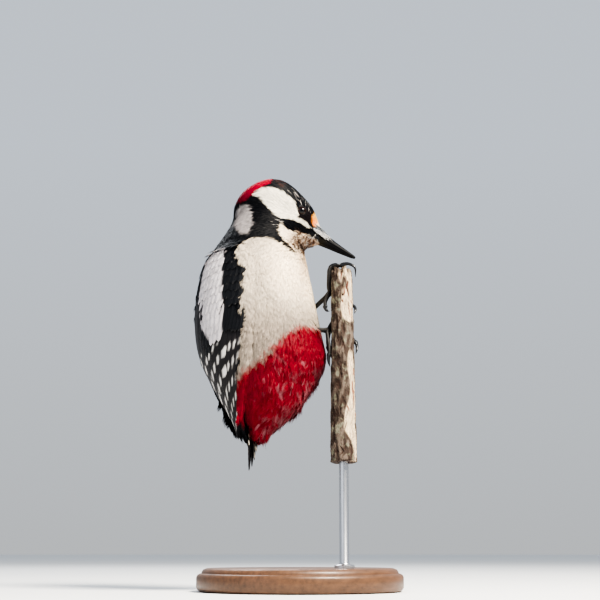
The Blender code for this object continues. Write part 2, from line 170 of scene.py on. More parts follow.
def makeStudio():
    scene = bpy.context.scene
    camera = bpy.data.objects.new("camera", bpy.data.cameras.new("camera"))
    camera.data.lens = studio["lens"]
    camera.data.sensor_width = 36
    camera.data.clip_start = 0.01
    aimed(camera, around(studio["azimuth"], studio["elevation"], studio["distance"]), studio["target"])
    scene.camera = camera
    for name, (azimuth, elevation, distance, size, watts, colour) in studio["lamps"].items():
        light = bpy.data.lights.new(name, "AREA")
        light.energy, light.size, light.color = watts, size, colour
        aimed(bpy.data.objects.new(name, light), around(azimuth, elevation, distance), studio["target"])
    world = bpy.data.worlds.new("studioAir")
    scene.world = world
    world.use_nodes = True
    boxes, links = world.node_tree.nodes, world.node_tree.links
    boxes["Background"].inputs["Strength"].default_value = studio["worldStrength"]
    height = boxes.new("ShaderNodeSeparateXYZ")
    air = rampOf(boxes, (0.0, studio["horizon"]), (0.30, studio["zenith"]))
    links.new(boxes.new("ShaderNodeTexCoord").outputs["Generated"], height.inputs["Vector"])
    links.new(height.outputs["Z"], air.inputs["Fac"])
    links.new(air.outputs["Color"], boxes["Background"].inputs["Color"])
    scene.view_settings.look = "AgX - High Contrast"
    bm = bmesh.new()
    bmesh.ops.create_circle(bm, cap_ends=True, segments=96, radius=studio["floorRadius"])
    floor = pieceFrom(bm, "studioFloor", plainFinish("studioPaper", studio["floorColour"], 0.9))


# finishes
def newMaterial(name, roughness, **sockets):
    made = bpy.data.materials.new(name)
    made.use_nodes = True
    shader = made.node_tree.nodes["Principled BSDF"]
    shader.inputs["Roughness"].default_value = roughness
    for socket, value in sockets.items():
        shader.inputs[socket.replace("_", " ")].default_value = value
    return made, made.node_tree.nodes, made.node_tree.links, shader


def plainFinish(name, colour, roughness):
    made, boxes, links, shader = newMaterial(name, roughness)
    spot = boxes.new("ShaderNodeTexNoise")
    spot.inputs["Scale"].default_value = 3
    tone = rampOf(boxes, (0.3, [c * 0.97 for c in colour]), (0.7, colour))
    links.new(boxes.new("ShaderNodeTexCoord").outputs["Object"], spot.inputs["Vector"])
    links.new(spot.outputs["Fac"], tone.inputs["Fac"])
    links.new(tone.outputs["Color"], shader.inputs["Base Color"])
    return made


def rampOf(boxes, *stops):
    ramp = boxes.new("ShaderNodeValToRGB")
    for index, (place, colour) in enumerate(stops):
        stop = ramp.color_ramp.elements[index] if index < 2 else ramp.color_ramp.elements.new(place)
        stop.position = place
        stop.color = (*colour, 1) if len(colour) == 3 else colour
    return ramp


def mathBox(boxes, links, kind, *values):
    made = boxes.new("ShaderNodeMath")
    made.operation = kind
    for socket, value in zip(made.inputs, values):
        if isinstance(value, (int, float)):
            socket.default_value = value
        else:
            links.new(value, socket)
    return made.outputs["Value"]


# a bump that raises the finish by a height of 0 to 1 times this depth in mm
def raiseFinish(boxes, links, shader, height, strength, depth):
    bump = boxes.new("ShaderNodeBump")
    bump.inputs["Strength"].default_value = strength
    bump.inputs["Distance"].default_value = depth * mm
    links.new(height, bump.inputs["Height"])
    links.new(bump.outputs["Normal"], shader.inputs["Normal"])


# colour, roughness and height of a feather's vane: fine slanting barbs and a soft mottle
def vaneGroup():
    group = bpy.data.node_groups.new("vaneBarbs", "ShaderNodeTree")
    sockets = {
        "INPUT": (("Tint", "Color"), ("Vane", "Vector"), ("Barbs", "Float")),
        "OUTPUT": (("Color", "Color"), ("Roughness", "Float"), ("Height", "Float")),
    }
    for way, named in sockets.items():
        for name, kind in named:
            group.interface.new_socket(name, in_out=way, socket_type="NodeSocket" + kind)
    boxes, links = group.nodes, group.links
    given, made = boxes.new("NodeGroupInput"), boxes.new("NodeGroupOutput")
    vane = boxes.new("ShaderNodeSeparateXYZ")
    links.new(given.outputs["Vane"], vane.inputs["Vector"])
    slant = mathBox(boxes, links, "ABSOLUTE", vane.outputs["X"])
    run = mathBox(boxes, links, "SUBTRACT", vane.outputs["Y"], slant)
    wave = mathBox(boxes, links, "SINE", mathBox(boxes, links, "MULTIPLY", run, given.outputs["Barbs"]))
    mottle = boxes.new("ShaderNodeTexNoise")
    mottle.inputs["Scale"].default_value = 260
    mottle.inputs["Detail"].default_value = 4
    links.new(boxes.new("ShaderNodeTexCoord").outputs["Object"], mottle.inputs["Vector"])
    lines = mathBox(boxes, links, "MULTIPLY_ADD", wave, 0.10, 0.86)
    level = mathBox(boxes, links, "MULTIPLY_ADD", mottle.outputs["Fac"], 0.24, lines)
    toned = boxes.new("ShaderNodeVectorMath")
    toned.operation = "SCALE"
    links.new(given.outputs["Tint"], toned.inputs[0])
    links.new(level, toned.inputs["Scale"])
    links.new(toned.outputs["Vector"], made.inputs["Color"])
    gloss = rampOf(boxes, (0.0, (0.40,) * 3), (0.35, (0.74,) * 3))
    bright = boxes.new("ShaderNodeRGBToBW")
    links.new(given.outputs["Tint"], bright.inputs["Color"])
    links.new(bright.outputs["Val"], gloss.inputs["Fac"])
    links.new(gloss.outputs["Color"], made.inputs["Roughness"])
    links.new(wave, made.inputs["Height"])
    return group


def featherFinish(name, barbs, bumpDepth, **sockets):
    made, boxes, links, shader = newMaterial(name, 0.6, **sockets)
    tint, vane, group = (boxes.new("ShaderNode" + kind) for kind in ("Attribute", "UVMap", "Group"))
    tint.attribute_name, vane.uv_map, group.node_tree = "tint", "vane", vaneBarbs
    group.inputs["Barbs"].default_value = barbs
    links.new(tint.outputs["Color"], group.inputs["Tint"])
    links.new(vane.outputs["UV"], group.inputs["Vane"])
    links.new(group.outputs["Color"], shader.inputs["Base Color"])
    links.new(group.outputs["Roughness"], shader.inputs["Roughness"])
    raiseFinish(boxes, links, shader, group.outputs["Height"], 0.5, bumpDepth)
    return made


# a finish whose colour is the piece's tint, broken up by fine noise that also raises it
def tintedFinish(
    name, roughness, lumpSize, lumpDepth, contrast=0.3, place=Matrix(), stretch=(1, 1, 1), **sockets
):
    made, boxes, links, shader = newMaterial(name, roughness, **sockets)
    tint, spot, mixed = (boxes.new("ShaderNode" + kind) for kind in ("Attribute", "TexNoise", "Mix"))
    tint.attribute_name = "tint"
    spot.inputs["Scale"].default_value = 1 / lumpSize
    spot.inputs["Detail"].default_value = 6
    spot.inputs["Roughness"].default_value = 0.65
    links.new(mappedPlace(boxes, links, place, stretch), spot.inputs["Vector"])
    level = rampOf(boxes, (0.25, (1 - contrast,) * 3), (0.75, (1 + contrast / 2,) * 3))
    links.new(spot.outputs["Fac"], level.inputs["Fac"])
    mixed.data_type, mixed.blend_type = "RGBA", "MULTIPLY"
    mixed.inputs["Factor"].default_value = 1
    links.new(tint.outputs["Color"], mixed.inputs["A"])
    links.new(level.outputs["Color"], mixed.inputs["B"])
    links.new(mixed.outputs["Result"], shader.inputs["Base Color"])
    raiseFinish(boxes, links, shader, spot.outputs["Fac"], 0.6, lumpDepth)
    return made


# making pieces
def meshOf(bm, name):
    mesh = bpy.data.meshes.new(name)
    bm.to_mesh(mesh)
    bm.free()
    return mesh


# an object from a bmesh or a mesh in metres, already in its place
def pieceFrom(shape, name, finish):
    mesh = meshOf(shape, name) if isinstance(shape, bmesh.types.BMesh) else shape
    mesh.name = name
    mesh.materials.clear()
    mesh.materials.append(finish)
    mesh.shade_smooth()
    made = bpy.data.objects.new(name, mesh)
    bpy.context.scene.collection.objects.link(made)
    return made


def ridden(piece, slotName, *replaced):
    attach(piece, "root")
    if replaced:
        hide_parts(*replaced)
    return piece


# the object's mesh with its modifiers applied; the object itself goes
def bakedMesh(piece):
    bpy.context.view_layer.update()
    graph = bpy.context.evaluated_depsgraph_get()
    mesh = bpy.data.meshes.new_from_object(piece.evaluated_get(graph), depsgraph=graph)
    bpy.data.objects.remove(piece, do_unlink=True)
    return mesh


# a bmesh in mm in this frame, put in its place in metres
def seat(bm, place=Matrix()):
    bmesh.ops.transform(bm, matrix=Matrix.Scale(mm, 4) @ place, verts=bm.verts)


# a full turn of the bmesh's edges about an upright line
def spun(bm, centre, steps):
    bmesh.ops.spin(
        bm, geom=bm.verts[:] + bm.edges[:], cent=(*centre, 0), axis=(0, 0, 1), angle=math.tau, steps=steps,
        use_merge=True, use_duplicate=False,
    )
    bmesh.ops.remove_doubles(bm, verts=bm.verts, dist=0.0001)


# the bmesh as arrays: its points, and each triangle's corners
def arraysOf(bm):
    bm.verts.index_update()
    points = np.array([corner.co[:] for corner in bm.verts])
    return points, np.array([[corner.index for corner in face.verts] for face in bm.faces])


# one bmesh of several CAD nodes, with their loose triangles joined up
def copyOf(*names):
    bm = bmesh.new()
    for name in names:
        bm.from_mesh(nodes[name].data)
    bmesh.ops.remove_doubles(bm, verts=bm.verts, dist=0.000005)
    return bm


def verticesOf(mesh):
    found = np.zeros(len(mesh.vertices) * 3)
    mesh.vertices.foreach_get("co", found)
    return found.reshape(-1, 3) / mm


def putVertices(mesh, points):
    mesh.vertices.foreach_set("co", (points * mm).ravel())
    mesh.update()


# one colour for each of so many points
def evenly(colour, count):
    return np.tile(np.array(colour, float), (count, 1))


def putTint(mesh, colours):
    if len(colours) == 1:
        colours = evenly(colours[0], len(mesh.vertices))
    layer = mesh.color_attributes.new("tint", "FLOAT_COLOR", "POINT")
    filled = np.concatenate([np.clip(colours, 0, 1), np.ones((len(colours), 1))], axis=1)
    layer.data.foreach_set("color", filled.ravel())


# one mesh of many like feathers. points (n, k, 3) in mm, corners (m, 3) of one feather, tint (n, k, 3),
# vane and bake (n, k, 2)
def joinedMesh(name, points, corners, tint, vane, bake):
    count, size = points.shape[:2]
    faces = (corners[None] + (np.arange(count) * size)[:, None, None]).reshape(-1, 3)
    mesh = bpy.data.meshes.new(name)
    mesh.vertices.add(count * size)
    mesh.vertices.foreach_set("co", (points * mm).ravel())
    mesh.loops.add(faces.size)
    mesh.loops.foreach_set("vertex_index", faces.ravel())
    mesh.polygons.add(len(faces))
    mesh.polygons.foreach_set("loop_start", np.arange(0, faces.size, 3))
    mesh.update(calc_edges=True)
    for title, places in (("OFBake", bake), ("vane", vane)):
        layer = mesh.uv_layers.new(name=title)
        layer.data.foreach_set("uv", places.reshape(-1, 2)[faces.ravel()].ravel())
    putTint(mesh, tint.reshape(-1, 3))
    return mesh


# several joined meshes as one
def mergedMesh(name, batches):
    bm = bmesh.new()
    for batch in batches:
        bm.from_mesh(batch)
        bpy.data.meshes.remove(batch)
    return meshOf(bm, name)


# markings
palette = {  # linear colours
    "black": (0.0045, 0.0048, 0.0066),
    "cheek": (0.77, 0.715, 0.61),
    "cream": (0.87, 0.74, 0.565),
    # the flanks' and belly's own buff-grey, darkened further as painted shade on the body's sides and
    # underside
    "flank": (0.38, 0.33, 0.275),
    "belly": (0.26, 0.215, 0.175),
    # the white neck patch, greyed all over as painted shade
    "shadedNeckPatch": (0.30, 0.275, 0.272),
    "nape": (0.34, 0.0015, 0.022),
    "vent": (0.19, 0.0035, 0.012),
    "forehead": (0.84, 0.27, 0.06),
    "lore": (0.010, 0.007, 0.009),
    "chin": (0.20, 0.125, 0.085),
    "peach": (0.74, 0.56, 0.40),
    "streak": (0.12, 0.060, 0.035),
    "ventTip": (0.40, 0.22, 0.25),
    # the white shoulder patch, greyed all over as painted shade
    "shadedScapular": (0.56, 0.52, 0.53),
    "smudge": (0.42, 0.38, 0.34),  # a soft spot in the cheek
    "foreheadTop": (0.58, 0.38, 0.10),
    # painted shade on the lower nape's red
    "napeShade": (0.09, 0.004, 0.012),
    "paleTip": (0.46, 0.43, 0.40),  # single hair-like feathers of the head
    "rustTip": (0.045, 0.016, 0.012),
    "darkTip": (0.085, 0.042, 0.026),
}

# closed outlines painted one over the other on black, each with its tint and how soft its edge is: head ones
# as (forward, up) in the head's frame, body ones as (degrees from the belly line, height) in the body's
outlines = [
    ("body", "cream", 1.0, [
        (-30, 36), (10, 33), (17, 26.8), (29, 28.2), (40, 30.7), (53, 33.2), (66, 33.6), (81, 32.9), (91, 30),
        (96, 26.5), (95, 21), (86, 13), (86, 6), (88, -6), (85, -16), (86, -26), (89, -33), (98, -48),
        (106, -60), (106, -80), (-30, -80),
    ]),
    ("head", "cream", 0.8, [
        (7.3, -9.4), (11.5, -10.8), (14.8, -9.4), (16.9, -7), (20, -6), (24, -5), (28, -5.2), (33, -5.5),
        (37, -20), (34, -34), (27, -22.2), (22.9, -20.3), (19, -19), (15, -17.6), (11.3, -16.6), (8.2, -14.8),
    ]),
    ("head", "cheek", 0.6, [
        (-15.7, -2.2), (-14, 2.2), (-11.8, 5.3), (-7.9, 7.5), (-3.4, 8.5), (1.9, 8.3), (6.1, 7.4), (8.2, 6.0),
        (9.5, 3.2), (14.8, 1.2), (17.6, 0.8), (19.9, 0.2), (21.9, -0.6), (20.3, -1.6), (15.3, -1.9),
        (11.9, -2.6), (8.9, -4.1), (6.3, -6.0), (3, -6.7), (-1.5, -5.6), (-7.1, -2.9), (-12.1, -1),
    ]),
    ("head", "shadedNeckPatch", 1.1, [
        (-18.6, -9.8), (-14.7, -7.6), (-10.6, -11), (-5.4, -18.4), (-4.6, -24.4), (-8.4, -26.4),
        (-14.8, -22.2), (-18.6, -14.5),
    ]),
    ("head", "nape", 0.8, [
        (-12.6, 18), (-11, 8.8), (-14, 4.6), (-15.3, 0.9), (-16.3, -3), (-18, -6.6), (-20, -8.6), (-27, -9),
        (-27, 12),
    ]),
    ("head", "lore", 1.0, [
        (12.5, -0.5), (17.5, 0.4), (21, 0.8), (19.2, 3.2), (18, 6.6), (15.5, 8), (12, 8), (10.5, 4),
    ]),
    ("head", "forehead", 1.1, [
        (19.0, 9.8), (18.6, 7.2), (19.2, 4.4), (20.4, 2.2), (22.4, 1.2), (25.4, 2.4), (24, 9),
    ]),
    ("body", "vent", 4.0, [
        (-30, -19), (12, -18.5), (29, -19), (44, -26), (55, -34), (65, -38), (76, -41), (93, -46),
        (112, -57), (112, -84), (-30, -84),
    ]),
    ("body", "shadedScapular", 0.8, [
        (108.5, 27), (126, 29), (135, 24.5), (140, 17), (142, 8.8), (141, -3.6), (138.5, -12.8),
        (131, -21.5), (121, -27.5), (112, -30), (107.5, -23.8), (106, -12.8), (106, -4.3), (107, 7.8),
    ]),
]
breast, whiteWing = outlines[0][3], outlines[-1][3]


# 1 inside a closed outline and 0 outside, with an edge this soft
def insideOf(places, corners, soft):
    corners = np.array(corners, float)
    nearest, inside = np.full(len(places), 1e9), np.zeros(len(places), bool)
    for start, end in zip(corners, np.roll(corners, -1, axis=0)):
        run = end - start
        share = np.clip((places - start) @ run / (run @ run), 0, 1)
        gap = places - start - share[:, None] * run
        nearest = np.minimum(nearest, np.hypot(gap[:, 0], gap[:, 1]))
        crosses = (start[1] > places[:, 1]) != (end[1] > places[:, 1])
        level = start[0] + (places[:, 1] - start[1]) / (run[1] if abs(run[1]) > 1e-9 else 1e-9) * run[0]
        inside ^= crosses & (places[:, 0] < level)
    return np.clip(np.where(inside, nearest, -nearest) / soft + 0.5, 0, 1)


def blended(colours, mask, tint):
    return colours * (1 - mask[:, None]) + np.array(tint) * mask[:, None]


# 1 at a place, less and less around it
def softSpot(across, up, centre, spread):
    return np.exp(-((across - centre[0]) ** 2 / spread[0] + (up - centre[1]) ** 2 / spread[1]))


# (forward, out to the side, up) in the head's frame
def inHead(points):
    found = intoFrame(headFrame, points)
    return found[:, 0], np.abs(found[:, 1]), found[:, 2]


# (degrees from the belly line, height) in the body's frame
def inBody(points):
    found = intoFrame(bodyFrame, points)
    return np.degrees(np.arctan2(np.abs(found[:, 0]), -found[:, 1])), found[:, 2]


# the plumage's colour at points in mm
def markings(points):
    forward, out, up = inHead(points)
    turn, height = inBody(points)
    wander = np.stack([grain(points, 2.2, 1), grain(points, 2.2, 2)], axis=1) * 0.55
    headPlaces = np.stack([forward, up], axis=1) + wander
    bodyPlaces = np.stack([turn, height], axis=1) + wander * (2.2, 1.2)
    broad = grain(points, 6, 4)
    colours = evenly(palette["black"], len(points))
    for part, tint, soft, corners in outlines:
        mask = insideOf(headPlaces if part == "head" else bodyPlaces, corners, soft)
        if part == "body":
            mask *= ease(-up, 10, 16)  # the body's marks stop at the neck
        if tint == "shadedScapular":
            mask *= ease(turn, 96, 104)
        colours = blended(colours, mask, palette[tint])
        if tint == "cream" and part == "body":
            # greyer and darker towards the flanks and down the belly: partly the plumage's own buff-grey,
            # partly painted shade
            shade = np.clip(ease(turn, 40, 74) + ease(-height, -10, 20), 0, 1) * mask
            colours = blended(colours, shade * (0.75 + 0.25 * broad), palette["flank"])
            colours = blended(colours, ease(-height, -2, 26) * mask * 0.85, palette["belly"])
        if tint == "cream" and part == "head":
            colours = blended(colours, mask * ease(forward, 13, 20) * ease(-up, 4, 7) * 0.5, palette["peach"])
            underside = (forward - 20.7) * 0.83 - (up + 16) * 0.55  # 0 along the chin's lower outline
            # the chin is painted dark brown towards its lower outline: partly its own grey-brown feathers,
            # partly painted shade under the chin
            chin = mask * ease(underside, -6.5, -1.5) * ease(forward, 17, 20) * ease(up, -18, -13.5)
            colours = blended(colours, chin * 0.85, palette["chin"])
            streaks = ease(grain(points, 0.7, 8), -0.02, 0.12) * mask * ease(forward, 14.5, 17.5)
            streaks *= ease(-forward, -27, -22) * ease(up, -19, -15)
            colours = blended(colours, streaks * 0.75, palette["streak"])
        if tint == "cheek":
            smudge = softSpot(forward, up, (4.5, 1.5), (14, 9)) * mask * 0.28
            colours = blended(colours, smudge, palette["smudge"])
        if tint == "forehead":
            colours = blended(colours, mask * ease(up, 4, 7.5) * 0.9, palette["foreheadTop"])
            colours = blended(colours, mask * softSpot(forward, up, (24.4, 3.4), (3, 4)), palette["cheek"])
        if tint == "nape":
            # the lower part of the red nape is painted darker, as painted shade
            paintedNapeShade = mask * ease(-up, -6, 6)
            colours = blended(colours, paintedNapeShade * 0.75, palette["napeShade"])
    return colours


# the shares of feathers that are pale, rusty and dark there
def flecks(points):
    forward, out, up = inHead(points)
    brow = softSpot(forward, up, (9.5, 9.4), (30, 5)) * 0.32
    crown = ease(forward, -2, 3) * ease(-forward, -17, -12) * ease(up, 9.5, 11) * 0.11
    bar = softSpot(forward, up, (6.2, -10.6), (20, 9)) * ease(-out, -24, -12) * 0.62
    chin = ease(forward, 19, 23) * ease(-up, 2, 5) * ease(up, -18, -14) * 0.45
    rust = ease(-forward, 0, 4) * ease(forward, -13, -11) * ease(up, 9.5, 11.5) * 0.22
    dark = ease(forward, 14, 17) * ease(-up, 5, 7) * ease(up, -20, -16) * 0.34  # streaks of the chin
    return brow + crown + bar + chin, rust, dark


# skin
skin = {
    "flesh": ("head", "neck", "trunk", "thigh_left", "thigh_right", "wing_left", "wing_right"),
    "packing": ("eye_left", "eye_right", "bill_upper", "bill_lower"),  # fill their own sockets, then go
    "overlap": 0.5,  # how far each solid is swollen so that the thin gaps between them close
    "voxel": 0.85,  # side of the remesh's cells
    "billRoot": (24.0, 0.0, -1.5),  # the middle of the bill's root in the head's frame
    "billCut": 30.5,  # the skin ends inside the bill here, in the head's frame
    "billReach": 24,  # what is cut lies this near to that place
    "faceDepth": 0.55,  # how deep the skin lies under the coat's outside on the face and on the body
    "bodyDepth": 1.5,
    "wingDepth": 0.7,
    "thin": 12,  # parts no thicker than this lose at most this share of their thickness on each side
    "thinShare": 0.42,
}
eye = {
    "centre": (12.6, 7.6, 4.6),  # left eye in the head's frame
    "radius": 3.1,
    "axis": (0.16, 1.0, 0.03),
    "reach": 5.2,  # feathers about this near turn away from the eye
    "bulge": 0.035,  # how far the front stands out, as a share of the radius
    "rimRadius": 2.6,
    "places": (0.0, 0.54, 0.60, 0.74, 0.82, 1.0),  # of the colours below, as shares of the rim's radius
    "opening": 2.25,
    "lidRadius": 0.36,
    "lidColour": (0.010, 0.009, 0.010),
    "pupilColour": (0.001, 0.001, 0.002),
    "irisColours": ((0.016, 0.005, 0.003), (0.026, 0.007, 0.004)),
    "rimColours": ((0.003, 0.002, 0.002), (0.002, 0.002, 0.002)),
}
billRoot = placed(headFrame, skin["billRoot"])
eyeCentres = [placed(headFrame, np.array(eye["centre"]) * (1, sign, 1)) for sign in sides.values()]


# the outside of the coat as one closed mesh: the flesh solids grown together
def coverMesh():
    bm = copyOf(*skin["flesh"], *skin["packing"])
    bm.normal_update()
    for corner in bm.verts:
        corner.co += corner.normal * skin["overlap"] * mm
    whole = pieceFrom(bm, "cover", None)
    remesh = whole.modifiers.new("grownTogether", "REMESH")
    remesh.mode, remesh.voxel_size = "VOXEL", skin["voxel"] * mm
    relax = whole.modifiers.new("relax", "SMOOTH")
    relax.factor, relax.iterations = 0.5, 5
    mesh = bakedMesh(whole)
    bm = bmesh.new()
    bm.from_mesh(mesh)
    tip = headFrame @ Vector((skin["billCut"], 0, 0)) * mm
    faces = [face for face in bm.faces if (face.calc_center_median() - tip).length < skin["billReach"] * mm]
    # a set's order would change from run to run, and the feathers with it
    edges = dict.fromkeys(edge for face in faces for edge in face.edges)
    corners = dict.fromkeys(corner for face in faces for corner in face.verts)
    bmesh.ops.bisect_plane(
        bm, geom=[*corners, *edges, *faces], plane_co=tip,
        plane_no=headFrame.to_3x3() @ Vector((1, 0, 0)), clear_outer=True,
    )
    bmesh.ops.holes_fill(bm, edges=[edge for edge in bm.edges if edge.is_boundary], sides=0)
    bmesh.ops.triangulate(bm, faces=bm.faces)
    bmesh.ops.recalc_face_normals(bm, faces=bm.faces)
    bm.to_mesh(mesh)
    bm.free()
    return mesh


def normalsOf(mesh):
    found = np.zeros(len(mesh.vertices) * 3)
    mesh.vertex_normals.foreach_get("vector", found)
    return found.reshape(-1, 3)


def treeOf(points, mesh):
    return BVHTree.FromPolygons(points.tolist(), [face.vertices[:] for face in mesh.polygons])


def makeSkin():
    mesh = coverMesh()
    points, normals = verticesOf(mesh), normalsOf(mesh)
    points -= normals * skin["overlap"]  # back to the solids' own outside
    far = np.linalg.norm(points - billRoot, axis=1)
    depth = skin["faceDepth"] + (skin["bodyDepth"] - skin["faceDepth"]) * ease(far, 18, 60)
    depth += skin["wingDepth"] * ease(onWing(points), 0, 6)
    whole = treeOf(points, mesh)
    for index, (place, inward) in enumerate(zip((points - normals * 0.05).tolist(), (-normals).tolist())):
        distance = whole.ray_cast(place, inward, skin["thin"])[3]
        if distance is not None:  # thin parts, such as the wings' tips, stay in one piece
            depth[index] = min(depth[index], distance * skin["thinShare"])
    putVertices(mesh, points - normals * depth[:, None])
    putTint(mesh, markings(points) * 0.92)
    piece = pieceFrom(mesh, "skin", tintedFinish("down", 0.85, 1.4, 0.25))
    bpy.context.view_layer.objects.active = piece
    piece.select_set(True)
    bpy.ops.object.mode_set(mode="EDIT")
    bpy.ops.mesh.select_all(action="SELECT")
    bpy.ops.uv.smart_project(angle_limit=math.radians(66), island_margin=0.004)
    bpy.ops.object.mode_set(mode="OBJECT")
    piece.select_set(False)
    piece.data.uv_layers[0].name = "OFBake"
    ridden(piece, "plumage_white", *skin["flesh"])
    tree = treeOf(points, mesh)
    return {"piece": piece, "points": points, "normals": normals, "depth": depth, "tree": tree}


# feathers of head and body
coat = {
    # distance from the bill's root, length, width, gap between roots, lift of the tip, all in mm
    "growth": (
        (0, 1.8, 0.56, 0.41, 0.10),
        (8, 2.5, 0.76, 0.47, 0.15),
        (18, 3.4, 0.95, 0.52, 0.19),
        (30, 4.8, 1.30, 0.62, 0.17),
        (45, 6.2, 1.65, 0.76, 0.18),
        (70, 7.4, 2.05, 0.84, 0.22),
        (150, 9.3, 2.4, 0.94, 0.40),
    ),
    "candidates": 260000,  # places that are tried
    "lidGap": 0.35,
    "billGap": 0.75,
    "billStart": 27.5,  # further forward, in the head's frame, roots keep this far off the bill
    "billFar": 5,
    "wholeLength": 0.45,  # of a feather's length, before it splits into strands
    "strandLengths": (0.36, 0.50, 0.55, 0.46, 0.32),
    "closeIn": (0, 3.4, -92),  # a place on the tail, in the body's frame
    "lowestTip": -76,  # none reaches further down and hides the tail
    "ventStretch": 1.3,
    "largest": 170000,  # triangles of one piece
    "patch": 0.003,  # a feather's size on the bake map
    "vaneScale": 0.1,  # and on the vane map, for each mm
    "clump": 4.5,  # size of the locks into which loose feathers fall
    "clumpLift": 3.2,  # the most that a lock is lifted
    "hairChances": (0.06, 0.30, 0.55),  # share of thin ones: everywhere, and how many more on vent and throat
    "hairWidth": 0.4,  # and their size against other feathers'
    "hairLength": 1.2,
}
legs = {
    "heel": {"left": (8.4, -4.0, 150.2), "right": (-6.6, -11.0, 136.6)},
    "reach": 9,  # feathers about this near turn towards the heel
}
wing = {
    "coatHeight": 21,  # over this height the body's feathers lie over the wing too
    # (height, front and back edge in degrees from the belly line, middle, half width, half depth)
    "shell": (
        (-73, 130, 156, 0.0, 12.9, 11.4),
        (-68, 114, 164, -0.3, 14.8, 13.4),
        (-60, 102, 170, -0.8, 17.4, 17.4),
        (-50, 93, 172, -1.8, 21.8, 23.4),
        (-38, 86, 172, -2.3, 26.9, 29.5),
        (-24, 80, 168, -0.9, 30.4, 33.4),
        (-6, 76, 160, 1.3, 31.6, 33.9),
        (12, 74, 148, 2.7, 30.7, 31.7),
        (26, 76, 132, 3.1, 28.3, 29.5),
        (31, 84, 118, 2.7, 26.8, 28.2),
    ),
}


# one small feather one unit long and wide: a cambered vane whose end is split into tapering strands, and each
# point's strand, or -1
def tuftTemplate():
    whole = coat["wholeLength"]
    bm = bmesh.new()
    bmesh.ops.create_grid(bm, x_segments=len(coat["strandLengths"]), y_segments=2, size=0.5)
    number = bm.verts.layers.int.new("strand")
    for corner in bm.verts:
        corner.co.y = (corner.co.y + 0.5) * whole
        corner[number] = -1
    ends = [edge for edge in bm.edges if all(corner.co.y > whole * 0.98 for corner in edge.verts)]
    ends.sort(key=lambda edge: edge.verts[0].co.x)
    for index, (edge, length) in enumerate(zip(ends, coat["strandLengths"])):
        first, last = edge.verts
        middle = (first.co + last.co) / 2
        between = []
        for side in (first, last):
            x = middle.x * 1.08 + (side.co.x - middle.x) * 0.6
            between.append(bm.verts.new((x, whole + length * 0.55, 0)))
        tip = bm.verts.new((middle.x * 1.2 + 0.03 * (index % 2), whole + length, 0))
        for corner in (*between, tip):
            corner[number] = index
        bm.faces.new((first, last, between[1], between[0]))
        bm.faces.new((between[0], between[1], tip))
    for corner in bm.verts:
        x, y = corner.co.x, corner.co.y
        spread = 0.35 + 0.65 * math.sin(min(y / whole, 1) * math.pi / 2)
        corner.co.x = x * spread
        corner.co.z = -0.55 * x * x * (1 if y > 0 else 0.4)
    bmesh.ops.triangulate(bm, faces=bm.faces)
    bmesh.ops.recalc_face_normals(bm, faces=bm.faces)
    bm.normal_update()
    if sum(face.normal.z for face in bm.faces) < 0:
        bmesh.ops.reverse_faces(bm, faces=bm.faces)
    points, corners = arraysOf(bm)
    strand = np.array([corner[number] for corner in bm.verts])
    bm.free()
    return points, corners, strand


# which points stay when none may be nearer to an earlier one than its own gap
def thinnedOut(points, gaps):
    tree = KDTree(len(points))
    for index, point in enumerate(points.tolist()):
        tree.insert(point, index)
    tree.balance()
    stays = np.ones(len(points), bool)
    for index, (point, gap) in enumerate(zip(points.tolist(), gaps.tolist())):
        if stays[index]:
            for _, other, _ in tree.find_range(point, gap):
                if other > index:
                    stays[other] = False
    return stays


# random places on the skin: the coat's outside there, its normal, the skin's depth and its bake place
def scatteredRoots(base, count):
    mesh = base["piece"].data
    mesh.calc_loop_triangles()
    triangles, loops = (np.zeros(len(mesh.loop_triangles) * 3, int) for _ in range(2))
    mesh.loop_triangles.foreach_get("vertices", triangles)
    mesh.loop_triangles.foreach_get("loops", loops)
    triangles, loops = triangles.reshape(-1, 3), loops.reshape(-1, 3)
    bake = np.zeros(len(mesh.loops) * 2)
    mesh.uv_layers["OFBake"].data.foreach_get("uv", bake)
    a, b, c = (base["points"][triangles[:, k]] for k in range(3))
    share = np.linalg.norm(np.cross(b - a, c - a), axis=1)
    growth = np.array(coat["growth"])  # more places where the feathers are small
    share = share / np.interp(np.linalg.norm(a - billRoot, axis=1), growth[:, 0], growth[:, 3]) ** 2
    chosen = draw.choice(len(triangles), count, p=share / share.sum())
    shares = draw.dirichlet((1, 1, 1), count)

    def mixed(values):
        return (values[chosen] * shares[:, :, None]).sum(axis=1)

    return (
        mixed(base["points"][triangles]),
        unit(mixed(base["normals"][triangles])),
        mixed(base["depth"][triangles][..., None])[:, 0],
        mixed(bake.reshape(-1, 2)[loops]),
    )


# how far inside the folded wings' outline points are, in degrees; below 0 is outside
def onWing(points):
    turn, height = inBody(points)
    heights, front, back = (np.array(column) for column in list(zip(*wing["shell"]))[:3])
    pastFront = turn - smoothValue(height, heights, front) - 3 - 6 * ease(height, -22, -4)
    inside = np.minimum(pastFront, smoothValue(height, heights, back) - turn - 3)
    inside = np.where((height > wing["coatHeight"]) | (height < heights[0]), -1, inside)
    return np.minimum(inside, 4 - 8 * insideOf(np.stack([turn, height], axis=1), breast, 2.0))


def nearest(tree, points):
    found = [tree.find_nearest(point) for point in points.tolist()]
    return np.array([hit[0] for hit in found]), np.array([hit[1] for hit in found])


